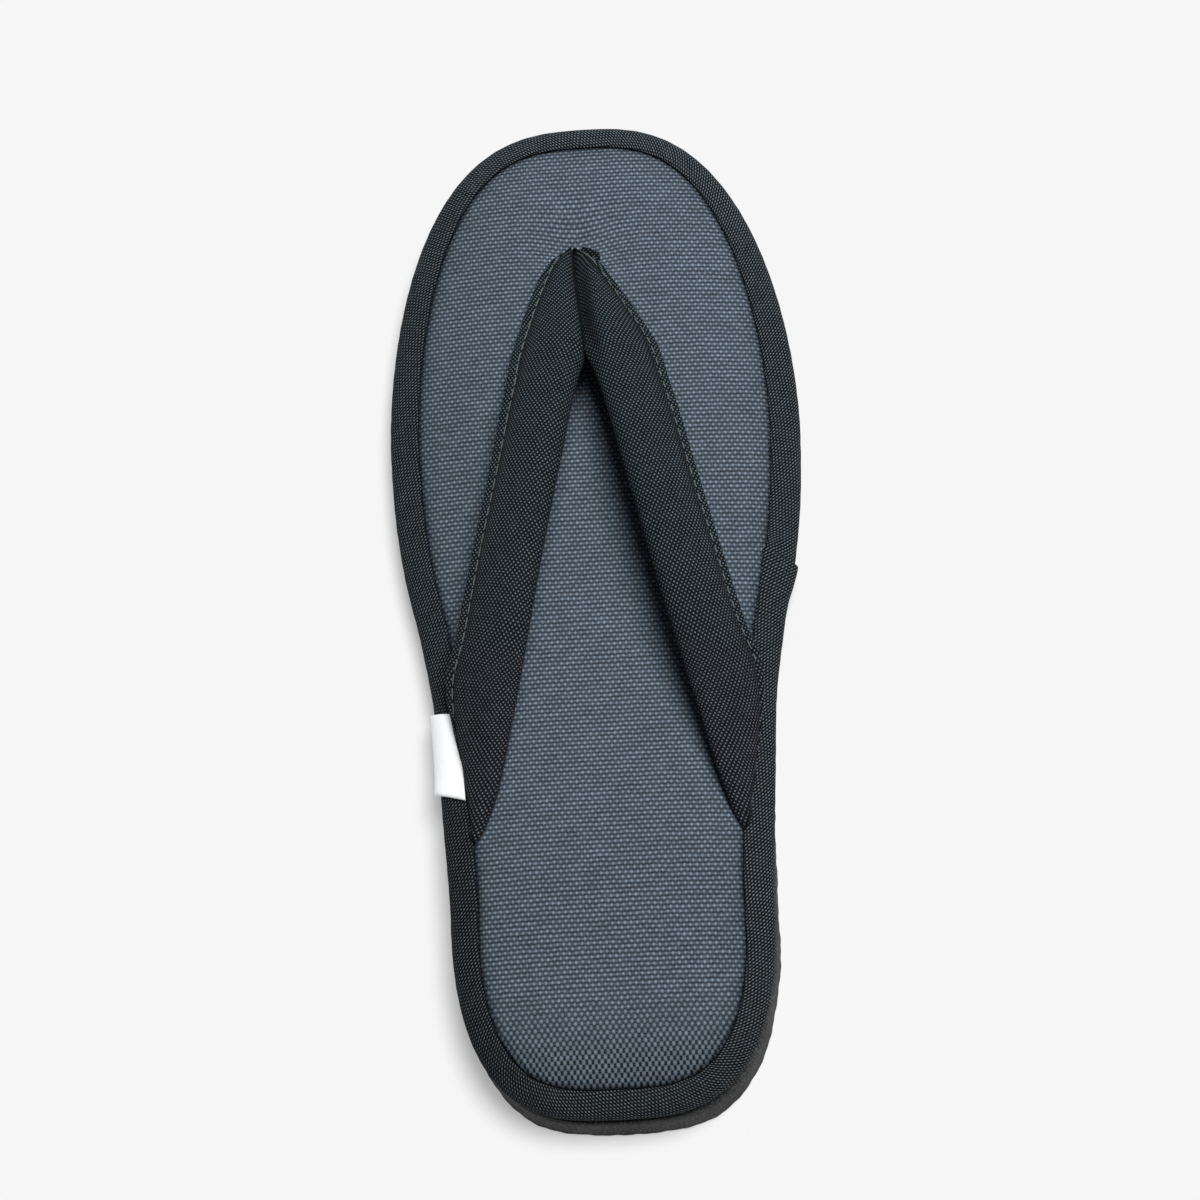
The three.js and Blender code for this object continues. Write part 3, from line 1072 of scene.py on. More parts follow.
@dataclass
class Footbed:
    """Padded footbed and the canvas tape bound round its edge."""

    last: Last
    shift: np.ndarray
    tape: float = 1.0
    tape_under: float = 6.9
    tape_ends: float = 6.3
    tape_waist: float = 7.1
    tape_ball: float = 7.5
    proud: float = 0.5
    tuck: float = 1.3
    tape_middle: float = 5.0
    narrowing: Fade = Fade(1.0, 70.0, 122.0)
    widening: Bell = Bell(1.0, 40.0, 45.0)
    lip: float = 0.55
    step: tuple[float, float] = (-0.3, 1.6)
    stations: int = 760
    crown_steps: int = 52
    crowding: float = 1.25
    base_steps: int = 6
    roll_steps: int = 10
    fill: float = 0.85
    pull: float = 2.2
    pull_x: Bell = Bell(1.0, -2.5, 10.0)
    pull_y: Bell = Bell(1.0, 94.0, 9.0)
    # Painted light on the pad, standing for the tape's shadow and for light falling from the toe and
    # the right: a painted shade line and soft shade at the tape, painted shade at the left and
    # towards the heel, and a painted lighter toe.
    painted_shade_line: Bell = Bell(0.75, -0.2, 0.8)
    soft_painted_shade: Bell = Bell(0.2, 0.0, 3.0)
    painted_light_toe: Fade = Fade(0.06, 20.0, 90.0)
    pad_painted_shade_left: Fade = Fade(0.12, 8.0, 34.0)
    pad_shade_left_front: Fade = Fade(1.0, -20.0, 40.0)
    pad_painted_shade_back: Fade = Fade(0.08, 20.0, 80.0)
    pad_painted_shade_heel: Fade = Fade(0.17, 98.0, 122.0)
    dents: tuple[DentRow, ...] = (
        DentRow(-2.5, 92.0, 0, 8.0, 5.0, 1.0),
        DentRow(0.0, 60.0, 90, 30.0, 7.0, 0.15),
        DentRow(31.0, -54.0, 75, 14.0, 4.0, 0.5),
        DentRow(-31.0, -54.0, 105, 14.0, 4.0, 0.5),
        DentRow(-24.0, 96.0, 40, 16.0, 7.0, 0.18),
        DentRow(26.0, 70.0, 110, 22.0, 8.0, -0.2),
        DentRow(-12.0, -96.0, 15, 26.0, 10.0, 0.15),
        DentRow(14.0, -20.0, 80, 24.0, 9.0, 0.12),
    )

    def tape_width(self, y: np.ndarray) -> np.ndarray:
        """Width of the tape on the top face: widest at the ball and narrow at both tips.

        Args:
            y: Places along the foot.

        Returns:
            The width at each.
        """
        ends = self.narrowing.at(np.abs(y - self.tape_middle))
        along = self.tape_waist + (self.tape_ball - self.tape_waist) * self.widening.at(y)
        return along + (self.tape_ends - along) * ends

    def _sunk(self, depth: np.ndarray, y: np.ndarray) -> np.ndarray:
        """How far the canvas lies below the tape's face: more under the lip than inside it."""
        inside = ease(depth - self.tape_width(y), *self.step)
        return self.tuck + (self.proud - self.tuck) * inside

    def top(self, plan: np.ndarray) -> np.ndarray:
        """Height of what shows from above: the tape, or the canvas inside it.

        Args:
            plan: Points in plan.

        Returns:
            The height at each.
        """
        depth, y = self.last.depth_in(plan), plan[..., 1]
        drop = self._sunk(depth, y) + pressed(plan, self.dents)
        over = depth < self.tape_width(y)
        return self.last.pad_base(y) + self.last.rise(depth) - np.where(over, 0.0, drop)

    def build_pad(self) -> bpy.types.Object:
        """Rings run from the middle of the base out, round the rolled edge and in over the crown.

        The canvas sinks under the tape's lip, and soft troughs mark where the strap pulls.

        Returns:
            The insole.
        """
        arc = np.linspace(0.0, 2.0, self.stations + 1)
        rim, _ = self.last.outline(arc)
        d, h = self.last.roll(self.roll_steps, self.tuck)
        d = np.broadcast_to(d[:, None], (len(d), len(arc)))
        plan = self.last.inset(np.broadcast_to(arc, d.shape), d)
        side = with_height(plan, self.last.pad_base(plan[..., 1]) + h[:, None])
        share = np.linspace(0.0, 1.0, self.crown_steps)[1:, None, None] ** self.crowding
        spine = self.last.spine(rim[:, 1])[None]
        plan = side[-1:, :, :2] * (1 - share) + spine * share
        depth, y = self.last.depth_in(plan), plan[..., 1]
        z = self.last.pad_base(y) + self.last.rise(depth) - self._sunk(depth, y)
        crown = with_height(plan, z - pressed(plan, self.dents))
        share = np.linspace(1.0, 0.0, self.base_steps)[:-1, None, None]
        plan = side[:1, :, :2] * (1 - share) + spine * share
        under = with_height(plan, self.last.pad_base(plan[..., 1]))
        points = np.concatenate([under, side, crown])
        x, y = points[..., 0], points[..., 1]
        drawn = self.pull * self.pull_x.at(x) * self.pull_y.at(y)
        # The shade channel carries the pad's painted light and shade.
        patch = Patch(points, np.stack([x, y + drawn, self._painted_pad_light(points)], -1))
        piece = Piece("footbed_pad", "insole", "footbed_canvas", self.shift).build([patch])
        piece.data.materials.append(SLATE_CANVAS.make())
        return piece

    def _painted_pad_light(self, points: np.ndarray) -> np.ndarray:
        """How bright the canvas is, all painted light: painted shade in a line at the tape and
        softly beside it, painted shade at the left of the fore part and towards the heel, and a
        painted lighter toe.

        Args:
            points: The pad's points.

        Returns:
            A multiplier of the canvas's colour for each.
        """
        x, y = points[..., 0], points[..., 1]
        reach = self.last.depth_in(points[..., :2]) - self.tape_width(y)
        line = self.painted_shade_line.at(reach) + self.soft_painted_shade.at(reach)
        painted_shade_behind = self.pad_painted_shade_back.at(-y) + self.pad_painted_shade_heel.at(-y)
        painted_shade_at_left = self.pad_painted_shade_left.at(-x) * self.pad_shade_left_front.at(y)
        return 1.0 - line + self.painted_light_toe.at(y) - painted_shade_at_left - painted_shade_behind


@dataclass
class Binding:
    """Bias tape folded round the footbed's edge, its ends lapped on the right side."""

    bed: Footbed
    lap_y: float = 4.6
    lap_run: float = 12.0
    lap_out: float = 0.95
    lap_in: float = 0.8
    lap_slant: float = 0.34
    lap_edge: float = 0.35
    lap_lift: float = 0.55
    slant_run: float = 6.0
    stations: int = 820
    lap_stations: int = 60
    close: float = 3.0
    roll_steps: int = 10
    low_steps: tuple[float, ...] = (1.0, 0.75)
    top_steps: tuple[float, ...] = (0.2, 0.4, 0.58, 0.74, 0.86, 0.94, 0.985, 1.0)
    lip_run: float = 1.1
    pucker: float = 0.018
    puckers: tuple[Wave, ...] = (Wave(1.0, 0.9, 0.0), Wave(1.0, 1.37, 0.7))
    bias: float = 45.0
    hidden: float = 2.0
    # Painted shade on the tape's inner face, turned in under the lip.
    painted_inner_shade: float = 0.3
    # Painted light on the tape, for light falling from the toe and the right: lighter at the toe,
    # and painted shade at its left side, behind and at the heel.
    painted_light_toe: Fade = Fade(0.2, 60.0, 118.0)
    left: Fade = Fade(1.0, 8.0, 36.0)
    tape_painted_shade_left: float = 0.14
    tape_painted_shade_back: Fade = Fade(0.2, 10.0, 60.0)
    tape_painted_shade_heel: Fade = Fade(0.14, 96.0, 122.0)

    def _arc(self) -> np.ndarray:
        """Places round the outline, close together at the lap's edge.

        Returns:
            The places, in rising order.
        """
        lap = self.bed.last.arc_of(self.lap_y, Side.RIGHT)
        even = np.linspace(0.0, 2.0, self.stations)
        span = 2.0 / self.bed.last.length()
        close = lap + np.linspace(-self.close, self.close, self.lap_stations) * span
        return np.sort(np.concatenate([even, close]))

    def build(self) -> bpy.types.Object:
        """A C in section, carried round the outline; past the lap's edge it stands proud.

        The outer path runs under the pad's edge, round the roll and on to the crown, and ends in
        a rounded lip. The inner path comes back one tape thickness below it.

        Returns:
            The binding.
        """
        bed, last = self.bed, self.bed.last
        arc = self._arc()
        rim, _ = last.outline(arc)
        width = bed.tape_width(rim[:, 1])
        half = last.length() / 2
        past = (arc - last.arc_of(self.lap_y, Side.RIGHT)) * half
        lap = ease(past, -self.lap_edge / 2, self.lap_edge / 2)
        lap *= 1 - ease(past, 0.0, self.lap_run)
        lap[arc > 1.0] = 0.0
        width = width + self.lap_in * lap
        (outer_d, outer_h), (inner_d, inner_h) = (self._path(width, t) for t in (0.0, bed.tape))
        d = np.concatenate([outer_d, inner_d[::-1], outer_d[:1]])
        h = np.concatenate([outer_h, inner_h[::-1], outer_h[:1]])
        face = np.concatenate([np.ones(len(outer_d)), np.zeros(len(inner_d)), [1.0]])[:, None]
        skew = self.lap_slant * np.exp(-((past / self.slant_run) ** 2)) * (arc <= 1.0)
        place = arc - skew * d / half
        out = self.lap_out * lap * face * ease(h, last.roll_low * 0.3, last.roll_low)
        run = arc * half
        ripple = self.pucker * waved((1 - np.abs(1 - arc)) * half, self.puckers) * face
        up = ease(d, 1.0, last.roll_over)
        plan = last.inset(place, d - out * (1 - up) - ripple * (1 - up))
        z = last.pad_base(plan[..., 1]) + h + (self.lap_lift * out + ripple) * up
        points = with_height(plan, z)
        across = run_length(points, 0)
        along = np.broadcast_to(run, across.shape)
        turn = math.radians(self.bias)
        u = across * math.cos(turn) + along * math.sin(turn)
        v = along * math.cos(turn) - across * math.sin(turn)
        # The tape's tone is painted light and shade: its outer face by place, its inner face
        # darkened.
        tone = self._painted_tape_light(points) - self.painted_inner_shade * (1 - face)
        patch = Patch(points, np.stack([u, v, tone], -1))
        piece = Piece("edge_binding", "binding", "binding_canvas", bed.shift).build([patch])
        piece.data.materials.append(BINDING_CANVAS.make())
        wide = float(run_length(points[: len(outer_d)], 0)[-1].mean()) + self.hidden
        flat = (wide * MM, last.length() * MM)
        return piece

    def _painted_tape_light(self, points: np.ndarray) -> np.ndarray:
        """How bright the tape is, all painted light: a painted lighter toe, and painted shade round
        the heel and its left side.

        Args:
            points: The tape's points.

        Returns:
            A multiplier of the canvas's colour for each.
        """
        x, y = points[..., 0], points[..., 1]
        # Painted shade on the left side, stronger towards the back.
        left = self.left.at(-x) * (self.tape_painted_shade_left + self.tape_painted_shade_back.at(-y))
        return 1.0 + self.painted_light_toe.at(y) - left - self.tape_painted_shade_heel.at(-y)

    def _path(self, width: np.ndarray, inset: float) -> tuple[np.ndarray, np.ndarray]:
        """The tape's path from its lower edge to its lip, one column for each station.

        Args:
            width: Width of the tape on the top face at each station.
            inset: How far the path is sunk below the outer face.

        Returns:
            Distances in from the outline, and heights above the footbed's base.
        """
        bed, last = self.bed, self.bed.last
        roll_d, roll_h = last.roll(self.roll_steps, inset)
        every = np.ones_like(width)
        share = np.array(self.top_steps)[:, None]
        top_d = roll_d[-1] + (width - roll_d[-1]) * share
        lip = np.clip((top_d - width + self.lip_run) / self.lip_run, 0.0, 1.0) ** 2
        top_h = last.rise(top_d) - (inset if inset else bed.lip * lip)
        low_d = bed.tape_under * np.array(self.low_steps)[:, None] * every
        d = np.concatenate([low_d, roll_d[:, None] * every, top_d])
        h = np.concatenate([np.full_like(low_d, inset), roll_h[:, None] * every, top_h])
        return d, h


class ArmRow(NamedTuple):
    """One station of a strap arm: its two long edges, stuffed thickness and seam lip.

    h is the height of the arm's middle above the footbed's highest line.
    """

    in_x: float
    in_y: float
    in_h: float
    out_x: float
    out_y: float
    out_h: float
    thick: float
    seam: float


class SwayRow(NamedTuple):
    """Sideways shift of the strap at a place along the foot."""

    y: float
    x: float


class Seam(NamedTuple):
    """Threads along a groove: where they start, how far before its end they stop, and their cut."""

    first: float
    short: float
    stitch: float
    space: float


@dataclass
class Strap:
    """V-shaped upper: two stuffed canvas arms with a stitched seam lip, meeting at the front."""

    bed: Footbed
    arm: tuple[ArmRow, ...] = (
        ArmRow(-0.4, 91.2, -0.6, 1.6, 90.6, -0.8, 2.4, 0.7),
        ArmRow(-0.4, 86.6, 2.0, 6.2, 87.0, 0.4, 4.8, 2.0),
        ArmRow(-0.4, 78.0, 6.2, 10.8, 78.0, 2.8, 7.0, 2.6),
        ArmRow(-0.4, 68.0, 10.2, 14.8, 68.5, 5.2, 8.6, 2.6),
        ArmRow(-0.2, 58.0, 13.8, 18.2, 59.0, 8.0, 9.4, 2.6),
        ArmRow(2.1, 50.5, 15.6, 20.0, 50.0, 9.4, 9.8, 2.6),
        ArmRow(4.0, 43.5, 16.8, 21.8, 42.0, 10.4, 10.0, 2.6),
        ArmRow(7.4, 28.0, 18.4, 25.4, 25.0, 11.0, 10.0, 2.6),
        ArmRow(11.5, 10.0, 18.2, 29.9, 6.0, 10.2, 10.0, 2.6),
        ArmRow(16.5, -12.0, 15.8, 34.6, -13.0, 7.4, 9.6, 2.6),
        ArmRow(20.2, -27.0, 11.8, 38.0, -23.0, 3.2, 8.8, 2.3),
        ArmRow(23.4, -39.0, 7.2, 37.6, -33.0, -0.6, 7.8, 1.4),
        ArmRow(26.4, -50.0, 2.6, 35.4, -44.5, -3.2, 6.2, 0.5),
        ArmRow(29.6, -59.0, -1.6, 33.9, -55.0, -4.0, 4.4, 0.5),
        ArmRow(31.8, -63.4, -3.6, 33.3, -62.2, -4.2, 2.2, 0.3),
    )
    sway: tuple[SwayRow, ...] = (
        SwayRow(92, -3.0),
        SwayRow(82, -2.5),
        SwayRow(72, -1.5),
        SwayRow(62, -0.45),
        SwayRow(52, 0.0),
        SwayRow(36, 0.3),
        SwayRow(0, 0.5),
        SwayRow(-30, 0.95),
        SwayRow(-52, 0.95),
        SwayRow(-64, 0.4),
    )
    lip_thick: float = 1.3
    lip_share: float = 0.8
    fold: tuple[tuple[float, float], ...] = (
        (0.02, 0.55),
        (0.1, 0.5),
        (0.2, 0.8),
        (0.32, 1.0),
        (0.6, 1.05),
        (0.85, 1.0),
        (0.96, 0.75),
        (1.0, 0.3),
    )
    square: float = 2.05
    sweep: float = 164.0
    stations: int = 420
    top_steps: int = 34
    rest: float = 0.12
    crease: float = -0.4
    split: float = 0.06
    thread: float = 0.17
    thread_arch: float = 0.22
    thread_sunk: float = 0.1
    left_lip: float = 0.7
    # Painted shade on the arm's underside, where it hangs over the footbed.
    under: Fade = Fade(0.25, 0.0, 2.0)
    # Painted shade on the stuffed body where it turns down into the seam groove.
    groove: Bell = Bell(0.55, -1.1, 1.3)
    # Painted shade in the fold between the arms and in the hollow beside it on the right arm.
    fold_painted_shade: Bell = Bell(0.8, 0.3, 0.9)
    fold_shade_run: Fade = Fade(1.0, 52.0, 60.0)
    fold_shade_left: float = 0.6
    hollow_painted_shade: Bell = Bell(0.5, 1.0, 2.8)
    hollow_shade_back: Fade = Fade(1.0, 42.0, 54.0)
    hollow_shade_front: Fade = Fade(1.0, -92.0, -66.0)
    tab_middle: tuple[float, float] = (1.4, 89.6)
    tab_half: tuple[float, float, float] = (2.4, 1.5, 0.65)
    tab_rest: float = 0.8
    tab_square: float = 0.55
    # Painted shade on the tab, tucked in the fold at the front.
    tab_painted_shade: float = 0.5
    weld: float = 2e-7
    fill: float = 0.9
    right_seams: tuple[Seam, ...] = (Seam(0.6, 158.0, 7.6, 8.0), Seam(10.0, 40.0, 2.2, 1.3))
    left_seams: tuple[Seam, ...] = (Seam(3.0, 33.0, 3.2, 0.35),)
    right_dents: tuple[DentRow, ...] = (
        DentRow(-1.8, 82.0, 96, 8.0, 2.4, 3.4),
        DentRow(-0.6, 69.0, 95, 9.0, 2.0, 3.2),
        DentRow(2.0, 59.0, 100, 6.0, 1.8, 1.8),
        DentRow(8.0, 66.0, 60, 5.0, 2.4, 0.4),
        DentRow(13.0, 44.0, 110, 9.0, 2.6, 0.25),
        DentRow(26.0, -8.0, 100, 10.0, 2.6, 0.3),
        DentRow(30.0, -33.0, 60, 6.0, 2.2, 0.45),
        DentRow(33.0, -42.0, 55, 5.0, 1.8, 0.45),
    )
    left_dents: tuple[DentRow, ...] = (
        DentRow(-7.0, 62.0, 60, 5.0, 2.4, 0.35),
        DentRow(-14.0, 24.0, 70, 12.0, 3.0, 0.2),
        DentRow(-27.0, -10.0, 80, 11.0, 2.6, 0.3),
        DentRow(-31.0, -29.0, 120, 6.0, 2.2, 0.5),
        DentRow(-29.0, -41.0, 118, 6.0, 2.0, 0.45),
    )

    def _edges(self) -> tuple[np.ndarray, np.ndarray, np.ndarray, np.ndarray]:
        """The right arm's long edges, read from the table of its stations.

        Returns:
            Inner edge, outer edge, thickness and seam at each station.
        """
        last = self.bed.last
        rows = np.array(self.arm)
        read = read_rows(rows, np.linspace(0.0, len(rows) - 1.0, self.stations))
        ridge = float(last.rise(np.array(last.crown_flat)))
        inner, outer = (
            with_height(part[:, :2], last.pad_base(part[:, 1]) + ridge + part[:, 2])
            for part in (read[:, :3], read[:, 3:6])
        )
        return inner, outer, read[:, 6], read[:, 7]

    def _section(
        self, width: np.ndarray, thick: np.ndarray, seam: np.ndarray
    ) -> tuple[np.ndarray, np.ndarray]:
        """Section of an arm in its own plane, one column for each station.

        The body is a superellipse; where it comes down to the lip it leaves a stitched groove,
        and the lip is a flat fold with a rounded edge.

        Args:
            width: Width of the arm with its lip.
            thick: Thickness of the stuffed body.
            seam: Width of the lip.

        Returns:
            Distances across from the inner edge, and up from the middle.
        """
        body = width - seam
        lip = np.minimum(self.lip_thick, thick * self.lip_share) / 2
        turn = np.radians(np.linspace(0.0, self.sweep, self.top_steps))[:, None]
        power = 2 / self.square
        across = body / 2 * (1 - squared(np.cos(turn), power))
        up = thick / 2 * squared(np.sin(turn), power)
        fold = np.array(self.fold)
        lip_across = body + seam * fold[:, :1]
        lip_up = lip * fold[:, 1:]
        across = np.concatenate([across, lip_across, lip_across[::-1], across[:0:-1], across[:1]])
        up = np.concatenate([up, lip_up, -lip_up[::-1], -up[:0:-1], up[:1]])
        return across, up

    def _swayed(self, points: np.ndarray) -> np.ndarray:
        """The points shifted sideways by the table of sway.

        Args:
            points: Points of the straight strap.

        Returns:
            The shifted points.
        """
        moved = points.copy()
        moved[..., 0] += read_along(self.sway, points[..., 1])[..., 1]
        return moved

    def _arm(self, side: Side) -> tuple[Patch, np.ndarray]:
        """One arm, and the line of its seam groove.

        The section rides on the arm's own frame: across from the inner edge to the outer one, and
        up square to that and to the arm's run. It rests on the footbed where it would sink in.

        Args:
            side: Which arm.

        Returns:
            The arm's surface, and the points of the groove.
        """
        inner, outer, thick, seam = self._edges()
        middle = (inner + outer) / 2
        run = -np.gradient(middle, axis=0)
        across = outer - inner
        width = np.linalg.norm(across, axis=-1)
        across = unit(across)
        if side is Side.LEFT:
            wider = self.left_lip * ease(seam, 0.5, 2.6)
            width, seam = width + wider, seam + wider
        up = unit(np.cross(across, run))
        flat, high = self._section(width, thick, seam)
        points = inner[None] + across[None] * flat[..., None] + up[None] * high[..., None]
        groove = inner + across * (width - seam * 0.8)[:, None] + up * (self.lip_thick / 2)
        sign = np.array([float(side.value), 1.0, 1.0])
        points[..., 0] = np.maximum(points[..., 0], self.crease * side.value + self.split)
        points, groove = self._swayed(points * sign), self._swayed(groove * sign)
        dents = self.right_dents if side is Side.RIGHT else self.left_dents
        points[..., 2] -= pressed(points[..., :2], dents) * ease(high, -0.5, 1.5)
        floor = self.bed.top(points[..., :2]) + self.rest
        points[..., 2] = np.maximum(points[..., 2], floor)
        shear = -(across * unit(run)).sum(-1)
        around = run_length(points, 0) * np.sqrt(1 - shear**2)
        along = run_length(middle, 0) + (flat - width / 2) * shear
        # The arm's tone is painted shade: darker on its underside, in the fold between the arms and
        # on the body beside the seam groove.
        tone = 1.0 - self.under.at(-high) - self._painted_fold_shade(points, side)
        # Painted shade beside the seam groove, on the body only.
        tone -= self.groove.at(flat - width + seam) * (flat < width - seam)
        ends = [np.broadcast_to(points[:, k].mean(0), points[:, k].shape)[:, None] for k in (0, -1)]
        full = np.concatenate([ends[0], points, ends[1]], 1)
        cloth = np.pad(np.stack([around, along, tone], -1), ((0, 0), (1, 1), (0, 0)), mode="edge")
        return Patch(full, cloth), groove

    def _painted_fold_shade(self, points: np.ndarray, side: Side) -> np.ndarray:
        """How much painted shade darkens the cloth in the fold between the arms.

        A narrow bell of painted shade runs down the fold on both arms, and a wider one fills the
        hollow beside it
            on the right arm, where the arms part.

        Args:
            points: The arm's points.
            side: Which arm.

        Returns:
            What is taken from the tone at each point.
        """
        away = points[..., 0] - read_along(self.sway, points[..., 1])[..., 1] - self.crease
        y = points[..., 1]
        fold = self.fold_painted_shade.at(away) * self.fold_shade_run.at(y)
        if side is Side.LEFT:
            return self.fold_shade_left * fold
        hollow_painted_shade = self.hollow_painted_shade.at(away) * self.hollow_shade_back.at(y) * self.hollow_shade_front.at(-y)
        return np.maximum(fold, hollow_painted_shade)

    def _tab(self) -> Patch:
        """Small folded end of cloth at the front, right of where the arms meet.

        A flat ellipsoid squared off in plan, resting on the footbed.

        Returns:
            Its surface.
        """
        turn = np.linspace(0.0, 2 * np.pi, 49)[None, :]
        rise = np.linspace(-np.pi / 2, np.pi / 2, 13)[:, None]
        (middle_x, middle_y), (long, wide, high) = self.tab_middle, self.tab_half
        round_off = np.cos(rise) ** 0.5
        x = long * squared(np.cos(turn), self.tab_square) * round_off
        y = middle_y + wide * squared(np.sin(turn), self.tab_square) * round_off - 0.5 * x
        plan = np.stack([middle_x + x, y], -1)
        points = with_height(plan, self.bed.top(plan) + self.tab_rest + high * np.sin(rise))
        # The tab's cloth is darkened to half by painted shade.
        cloth = with_height(plan, np.full_like(x, self.tab_painted_shade))
        return Patch(points, cloth)

    def build(self) -> list[bpy.types.Object]:
        """Both arms and the folded end in one piece, and the stitches along the seam lips.

        Returns:
            The strap and its stitches.
        """
        right, right_groove = self._arm(Side.RIGHT)
        left, left_groove = self._arm(Side.LEFT)
        piece = Piece("strap_arms", "strap", "strap_canvas", self.bed.shift, self.weld)
        strap = piece.build([right, left, self._tab()])
        strap.data.materials.append(STRAP_CANVAS.make())
        runs = [self._threads(right_groove, seam) for seam in self.right_seams]
        runs += [self._threads(left_groove, seam) for seam in self.left_seams]
        piece = Piece("strap_stitches", None, "strap_canvas", self.bed.shift, self.weld)
        stitches = piece.build([patch for run in runs for patch in run])
        stitches.data.materials.append(SewingThread().make())
        return [strap, stitches]

    def _threads(self, line: np.ndarray, seam: Seam) -> list[Patch]:
        """Short arched threads along a line, each a tube that dives in at both ends.

        Args:
            line: The points of the groove.
            seam: Where the threads run, and their cut.

        Returns:
            A surface for each thread.
        """
        length = run_length(line, 0)
        starts = np.arange(seam.first, float(length[-1]) - seam.short, seam.stitch + seam.space)
        share = np.linspace(0.0, 1.0, 9)
        place = starts[:, None] + share * seam.stitch
        spine = np.stack([np.interp(place, length, line[:, k]) for k in range(3)], -1)
        spine[..., 2] += self.thread_arch * np.sin(np.pi * share) - self.thread_sunk
        run = unit(np.gradient(spine, axis=1))
        side = unit(np.cross(run, np.array([0.0, 0.0, 1.0])))
        up = np.cross(side, run)
        turn = np.linspace(0.0, 2 * np.pi, 7)
        radius = self.thread * np.sqrt(np.clip(1 - (2 * share - 1) ** 4, 0.0, 1.0))
        ring = side[:, :, None] * np.cos(turn)[:, None] + up[:, :, None] * np.sin(turn)[:, None]
        points = spine[:, :, None] + ring * radius[None, :, None, None]
        around = np.broadcast_to(turn * self.thread, points.shape[:3])
        along = np.broadcast_to((share * seam.stitch)[None, :, None], points.shape[:3])
        cloth = np.stack([around, along, np.ones_like(around)], -1)
        return [Patch(p, c) for p, c in zip(points, cloth)]


@dataclass
class SideLabel:
    """White tape folded in two, caught between strap and binding on the left side."""

    bed: Footbed
    front: float = -29.5
    back: float = -50.5
    inner: float = 6.4
    low: float = 17.0
    lean_front: float = 0.12
    lean_back: float = 0.34
    clear: float = 0.5
    thick: float = 0.26
    apart: float = 0.62
    bulge: float = 1.6
    curl: float = 0.5
    curl_out: float = 0.6
    curled: tuple[float, float] = (0.66, 1.0)
    hanging: tuple[float, float] = (-3.0, 1.0)
    steps: int = 26

    def _path(self) -> tuple[np.ndarray, np.ndarray, np.ndarray, np.ndarray]:
        """The folded tape's middle line: out over the binding, round the fold and back under.

        Returns:
            Distance in, height, and the two parts of the direction square to the path.
        """
        last = self.bed.last
        over, under = self.clear + self.apart, self.clear
        turn = np.radians(np.linspace(last.roll_stop, self.low, 14))
        arcs = []
        for stand in (over, under):
            d = last.roll_over - (last.roll_over + stand) * np.cos(turn)
            h = last.roll_low + (last.roll_high + stand) * np.sin(turn)
            flat_d = np.linspace(self.inner, d[0], 5, endpoint=False)
            flat_h = last.rise(flat_d) + stand
            arcs.append(np.stack([np.concatenate([flat_d, d]), np.concatenate([flat_h, h])], -1))
        top, bottom = arcs
        middle = (top[-1] + bottom[-1]) / 2
        way = unit(top[-1] - bottom[-1])
        ahead = unit(top[-1] - top[-2])
        bend = np.linspace(np.pi / 2, -np.pi / 2, 9)[1:-1, None]
        fold = middle + (way * np.sin(bend) + ahead * np.cos(bend) * self.bulge) * self.apart / 2
        path = np.concatenate([top, fold, bottom[::-1]])
        run = unit(np.gradient(path, axis=0))
        return path[:, 0], path[:, 1], run[:, 1], -run[:, 0]

    def build(self) -> bpy.types.Object:
        """The folded path carried along the shoe's side, with its back corner curled up a little.

        Returns:
            The label.
        """
        last = self.bed.last
        d, h, square_d, square_h = self._path()
        half = self.thick / 2
        loop_d = np.concatenate([d + square_d * half, (d - square_d * half)[::-1]])
        loop_h = np.concatenate([h + square_h * half, (h - square_h * half)[::-1]])
        loop_d, loop_h = np.append(loop_d, loop_d[0]), np.append(loop_h, loop_h[0])
        share = np.linspace(0.0, 1.0, self.steps)[None]
        lean = self.lean_front + (self.lean_back - self.lean_front) * share
        y = self.front + (self.back - self.front) * share - lean * loop_d[:, None]
        end = ease(share, *self.curled)
        outer = ease(-loop_d, *self.hanging)[:, None]
        upper = ease(loop_h, last.roll_low, last.roll_low + last.roll_high)[:, None]
        x = loop_d[:, None] - last.half_width(y) - self.curl_out * self.curl * end * outer
        z = last.pad_base(y) + loop_h[:, None] + self.curl * end * upper * outer
        points = np.stack([x, y, z], -1)
        run = run_length(points, 0)
        cloth = np.stack([y, run, np.ones_like(x)], -1)
        caps = [Patch(*self._cap(points[:, k], cloth[:, k])) for k in (0, -1)]
        piece = Piece("side_label", "label", "label_tape", self.bed.shift)
        label = piece.build([Patch(points, cloth), *caps])
        label.data.materials.append(LabelTape().make())
        return label

    def _cap(self, loop: np.ndarray, cloth: np.ndarray) -> tuple[np.ndarray, np.ndarray]:
        """A strip of quads that closes a cut end between the path's two faces.

        Args:
            loop: The points round the cut end.
            cloth: Their places on the tape.

        Returns:
            The strip's points and their places on the tape.
        """
        count = (len(loop) - 1) // 2
        pair = np.stack([loop[:count], loop[:count - 1 : -1][1:]], 0)
        marks = np.stack([cloth[:count], cloth[:count - 1 : -1][1:]], 0)
        return pair, marks


# ------------------------------------------------------------------ floor, light and camera


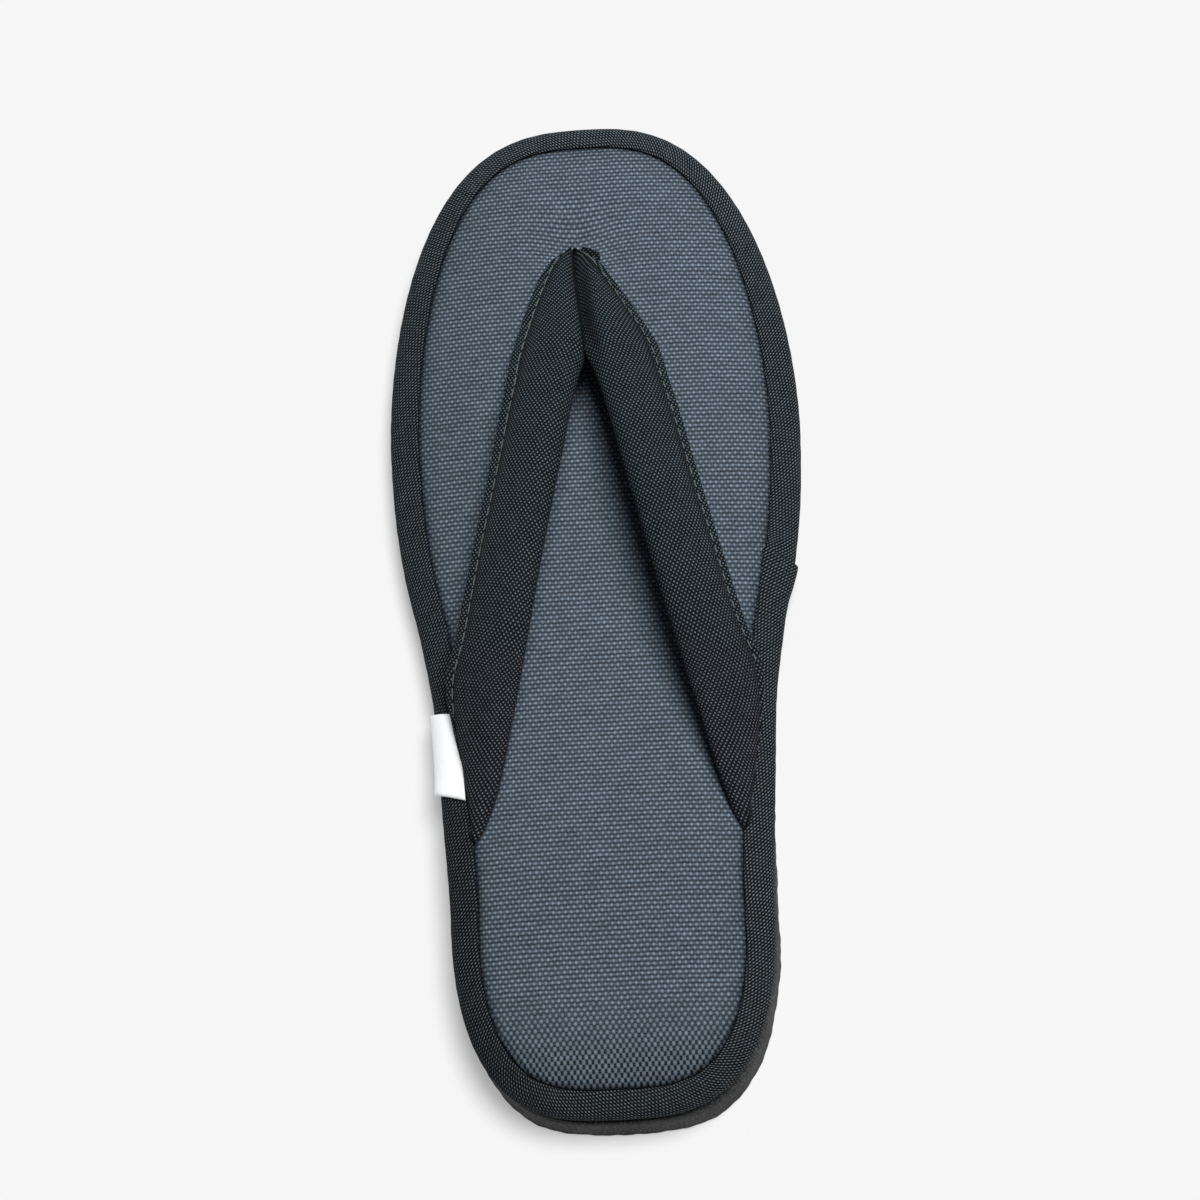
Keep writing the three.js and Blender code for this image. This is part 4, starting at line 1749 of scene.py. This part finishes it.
@dataclass(frozen=True)
class Studio:
    """Pale floor, one broad soft light from the upper right, an even sky and the camera."""

    floor: float = 60.0
    paper: Colour = (0.57, 0.57, 0.57, 1.0)
    glow: float = 0.36
    sky: float = 0.08
    key_power: float = 3.03
    key_spread: float = 28.0
    key_place: tuple[float, float, float] = (0.26, 0.2, 1.0)
    eye: tuple[float, float, float] = (0.0398, -0.2123, 0.6465)
    aim: tuple[float, float, float] = (0.0, 0.0, 0.012)
    roll: float = -13.48
    lens: float = 81.4
    sensor: float = 36.0
    clip: tuple[float, float] = (0.01, 50.0)
    grain: float = 900.0

    def build(self) -> None:
        """Makes the floor, the lights and the camera."""
        self._floor()
        self._light()
        self._camera()
        bpy.context.scene.view_settings.view_transform = "Standard"

    def _floor(self) -> None:
        """A plain pale plane under the shoe, with a very faint paper grain."""
        half = self.floor / 2
        mesh = bpy.data.meshes.new("floor")
        corners = [(-half, -half, 0), (half, -half, 0), (half, half, 0), (-half, half, 0)]
        mesh.from_pydata(corners, [], [(0, 1, 2, 3)])
        floor = bpy.data.objects.new("floor", mesh)
        bpy.context.scene.collection.objects.link(floor)
        n = Nodes("pale_paper")
        paper = n.finish(
            self.paper,
            0.95,
            n.bump(n.noise(n.place(), self.grain), 0.01 * MM, 0.3),
            Specular_IOR_Level=0.1,
            Emission_Color=WHITE,
            Emission_Strength=self.glow,
        )
        floor.data.materials.append(paper)

    def _light(self) -> None:
        """One broad far light with soft edges, and an even sky for fill."""
        lamp = bpy.data.lights.new("key", "SUN")
        lamp.energy, lamp.angle = self.key_power, math.radians(self.key_spread)
        key = bpy.data.objects.new("key", lamp)
        key.location = self.key_place
        key.rotation_mode = "QUATERNION"
        key.rotation_quaternion = (-Vector(self.key_place)).to_track_quat("-Z", "Y")
        bpy.context.scene.collection.objects.link(key)
        world = bpy.data.worlds.new("sky")
        world.use_nodes = True
        background = world.node_tree.nodes["Background"]
        background.inputs[0].default_value = WHITE
        background.inputs[1].default_value = self.sky
        bpy.context.scene.world = world

    def _camera(self) -> None:
        """A long lens above the heel, looking at the middle of the shoe."""
        data = bpy.data.cameras.new("camera")
        data.lens, data.sensor_width = self.lens, self.sensor
        data.clip_start, data.clip_end = self.clip
        camera = bpy.data.objects.new("camera", data)
        camera.location = self.eye
        look = Vector(self.aim) - Vector(self.eye)
        camera.rotation_mode = "QUATERNION"
        turn = Quaternion((0.0, 0.0, 1.0), math.radians(self.roll))
        camera.rotation_quaternion = look.to_track_quat("-Z", "Y") @ turn
        bpy.context.scene.collection.objects.link(camera)
        bpy.context.scene.camera = camera


def frame_shift(last: Last) -> np.ndarray:
    """Where the last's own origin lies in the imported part's frame, from the binding's box.

    Args:
        last: The last.

    Returns:
        The shift from the last's frame to the part's, in millimetres.
    """
    low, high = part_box("binding")
    y = (low.y + high.y) / 2 / MM - (last.toe.tip + last.heel.tip) / 2
    return np.array([(low.x + high.x) / 2 / MM, y, 0.0])


def main() -> None:
    """Builds the sandal and the studio round it, and logs each piece's size."""
    logging.basicConfig(level=logging.INFO, format="%(message)s")
    last = Last()
    shift = frame_shift(last)
    bed = Footbed(last, shift)
    report(Outsole(last, shift).build())
    report(bed.build_pad())
    report(Binding(bed).build())
    for piece in Strap(bed).build():
        report(piece)
    report(SideLabel(bed).build())
    Studio().build()


if __name__ == "__main__":
    main()
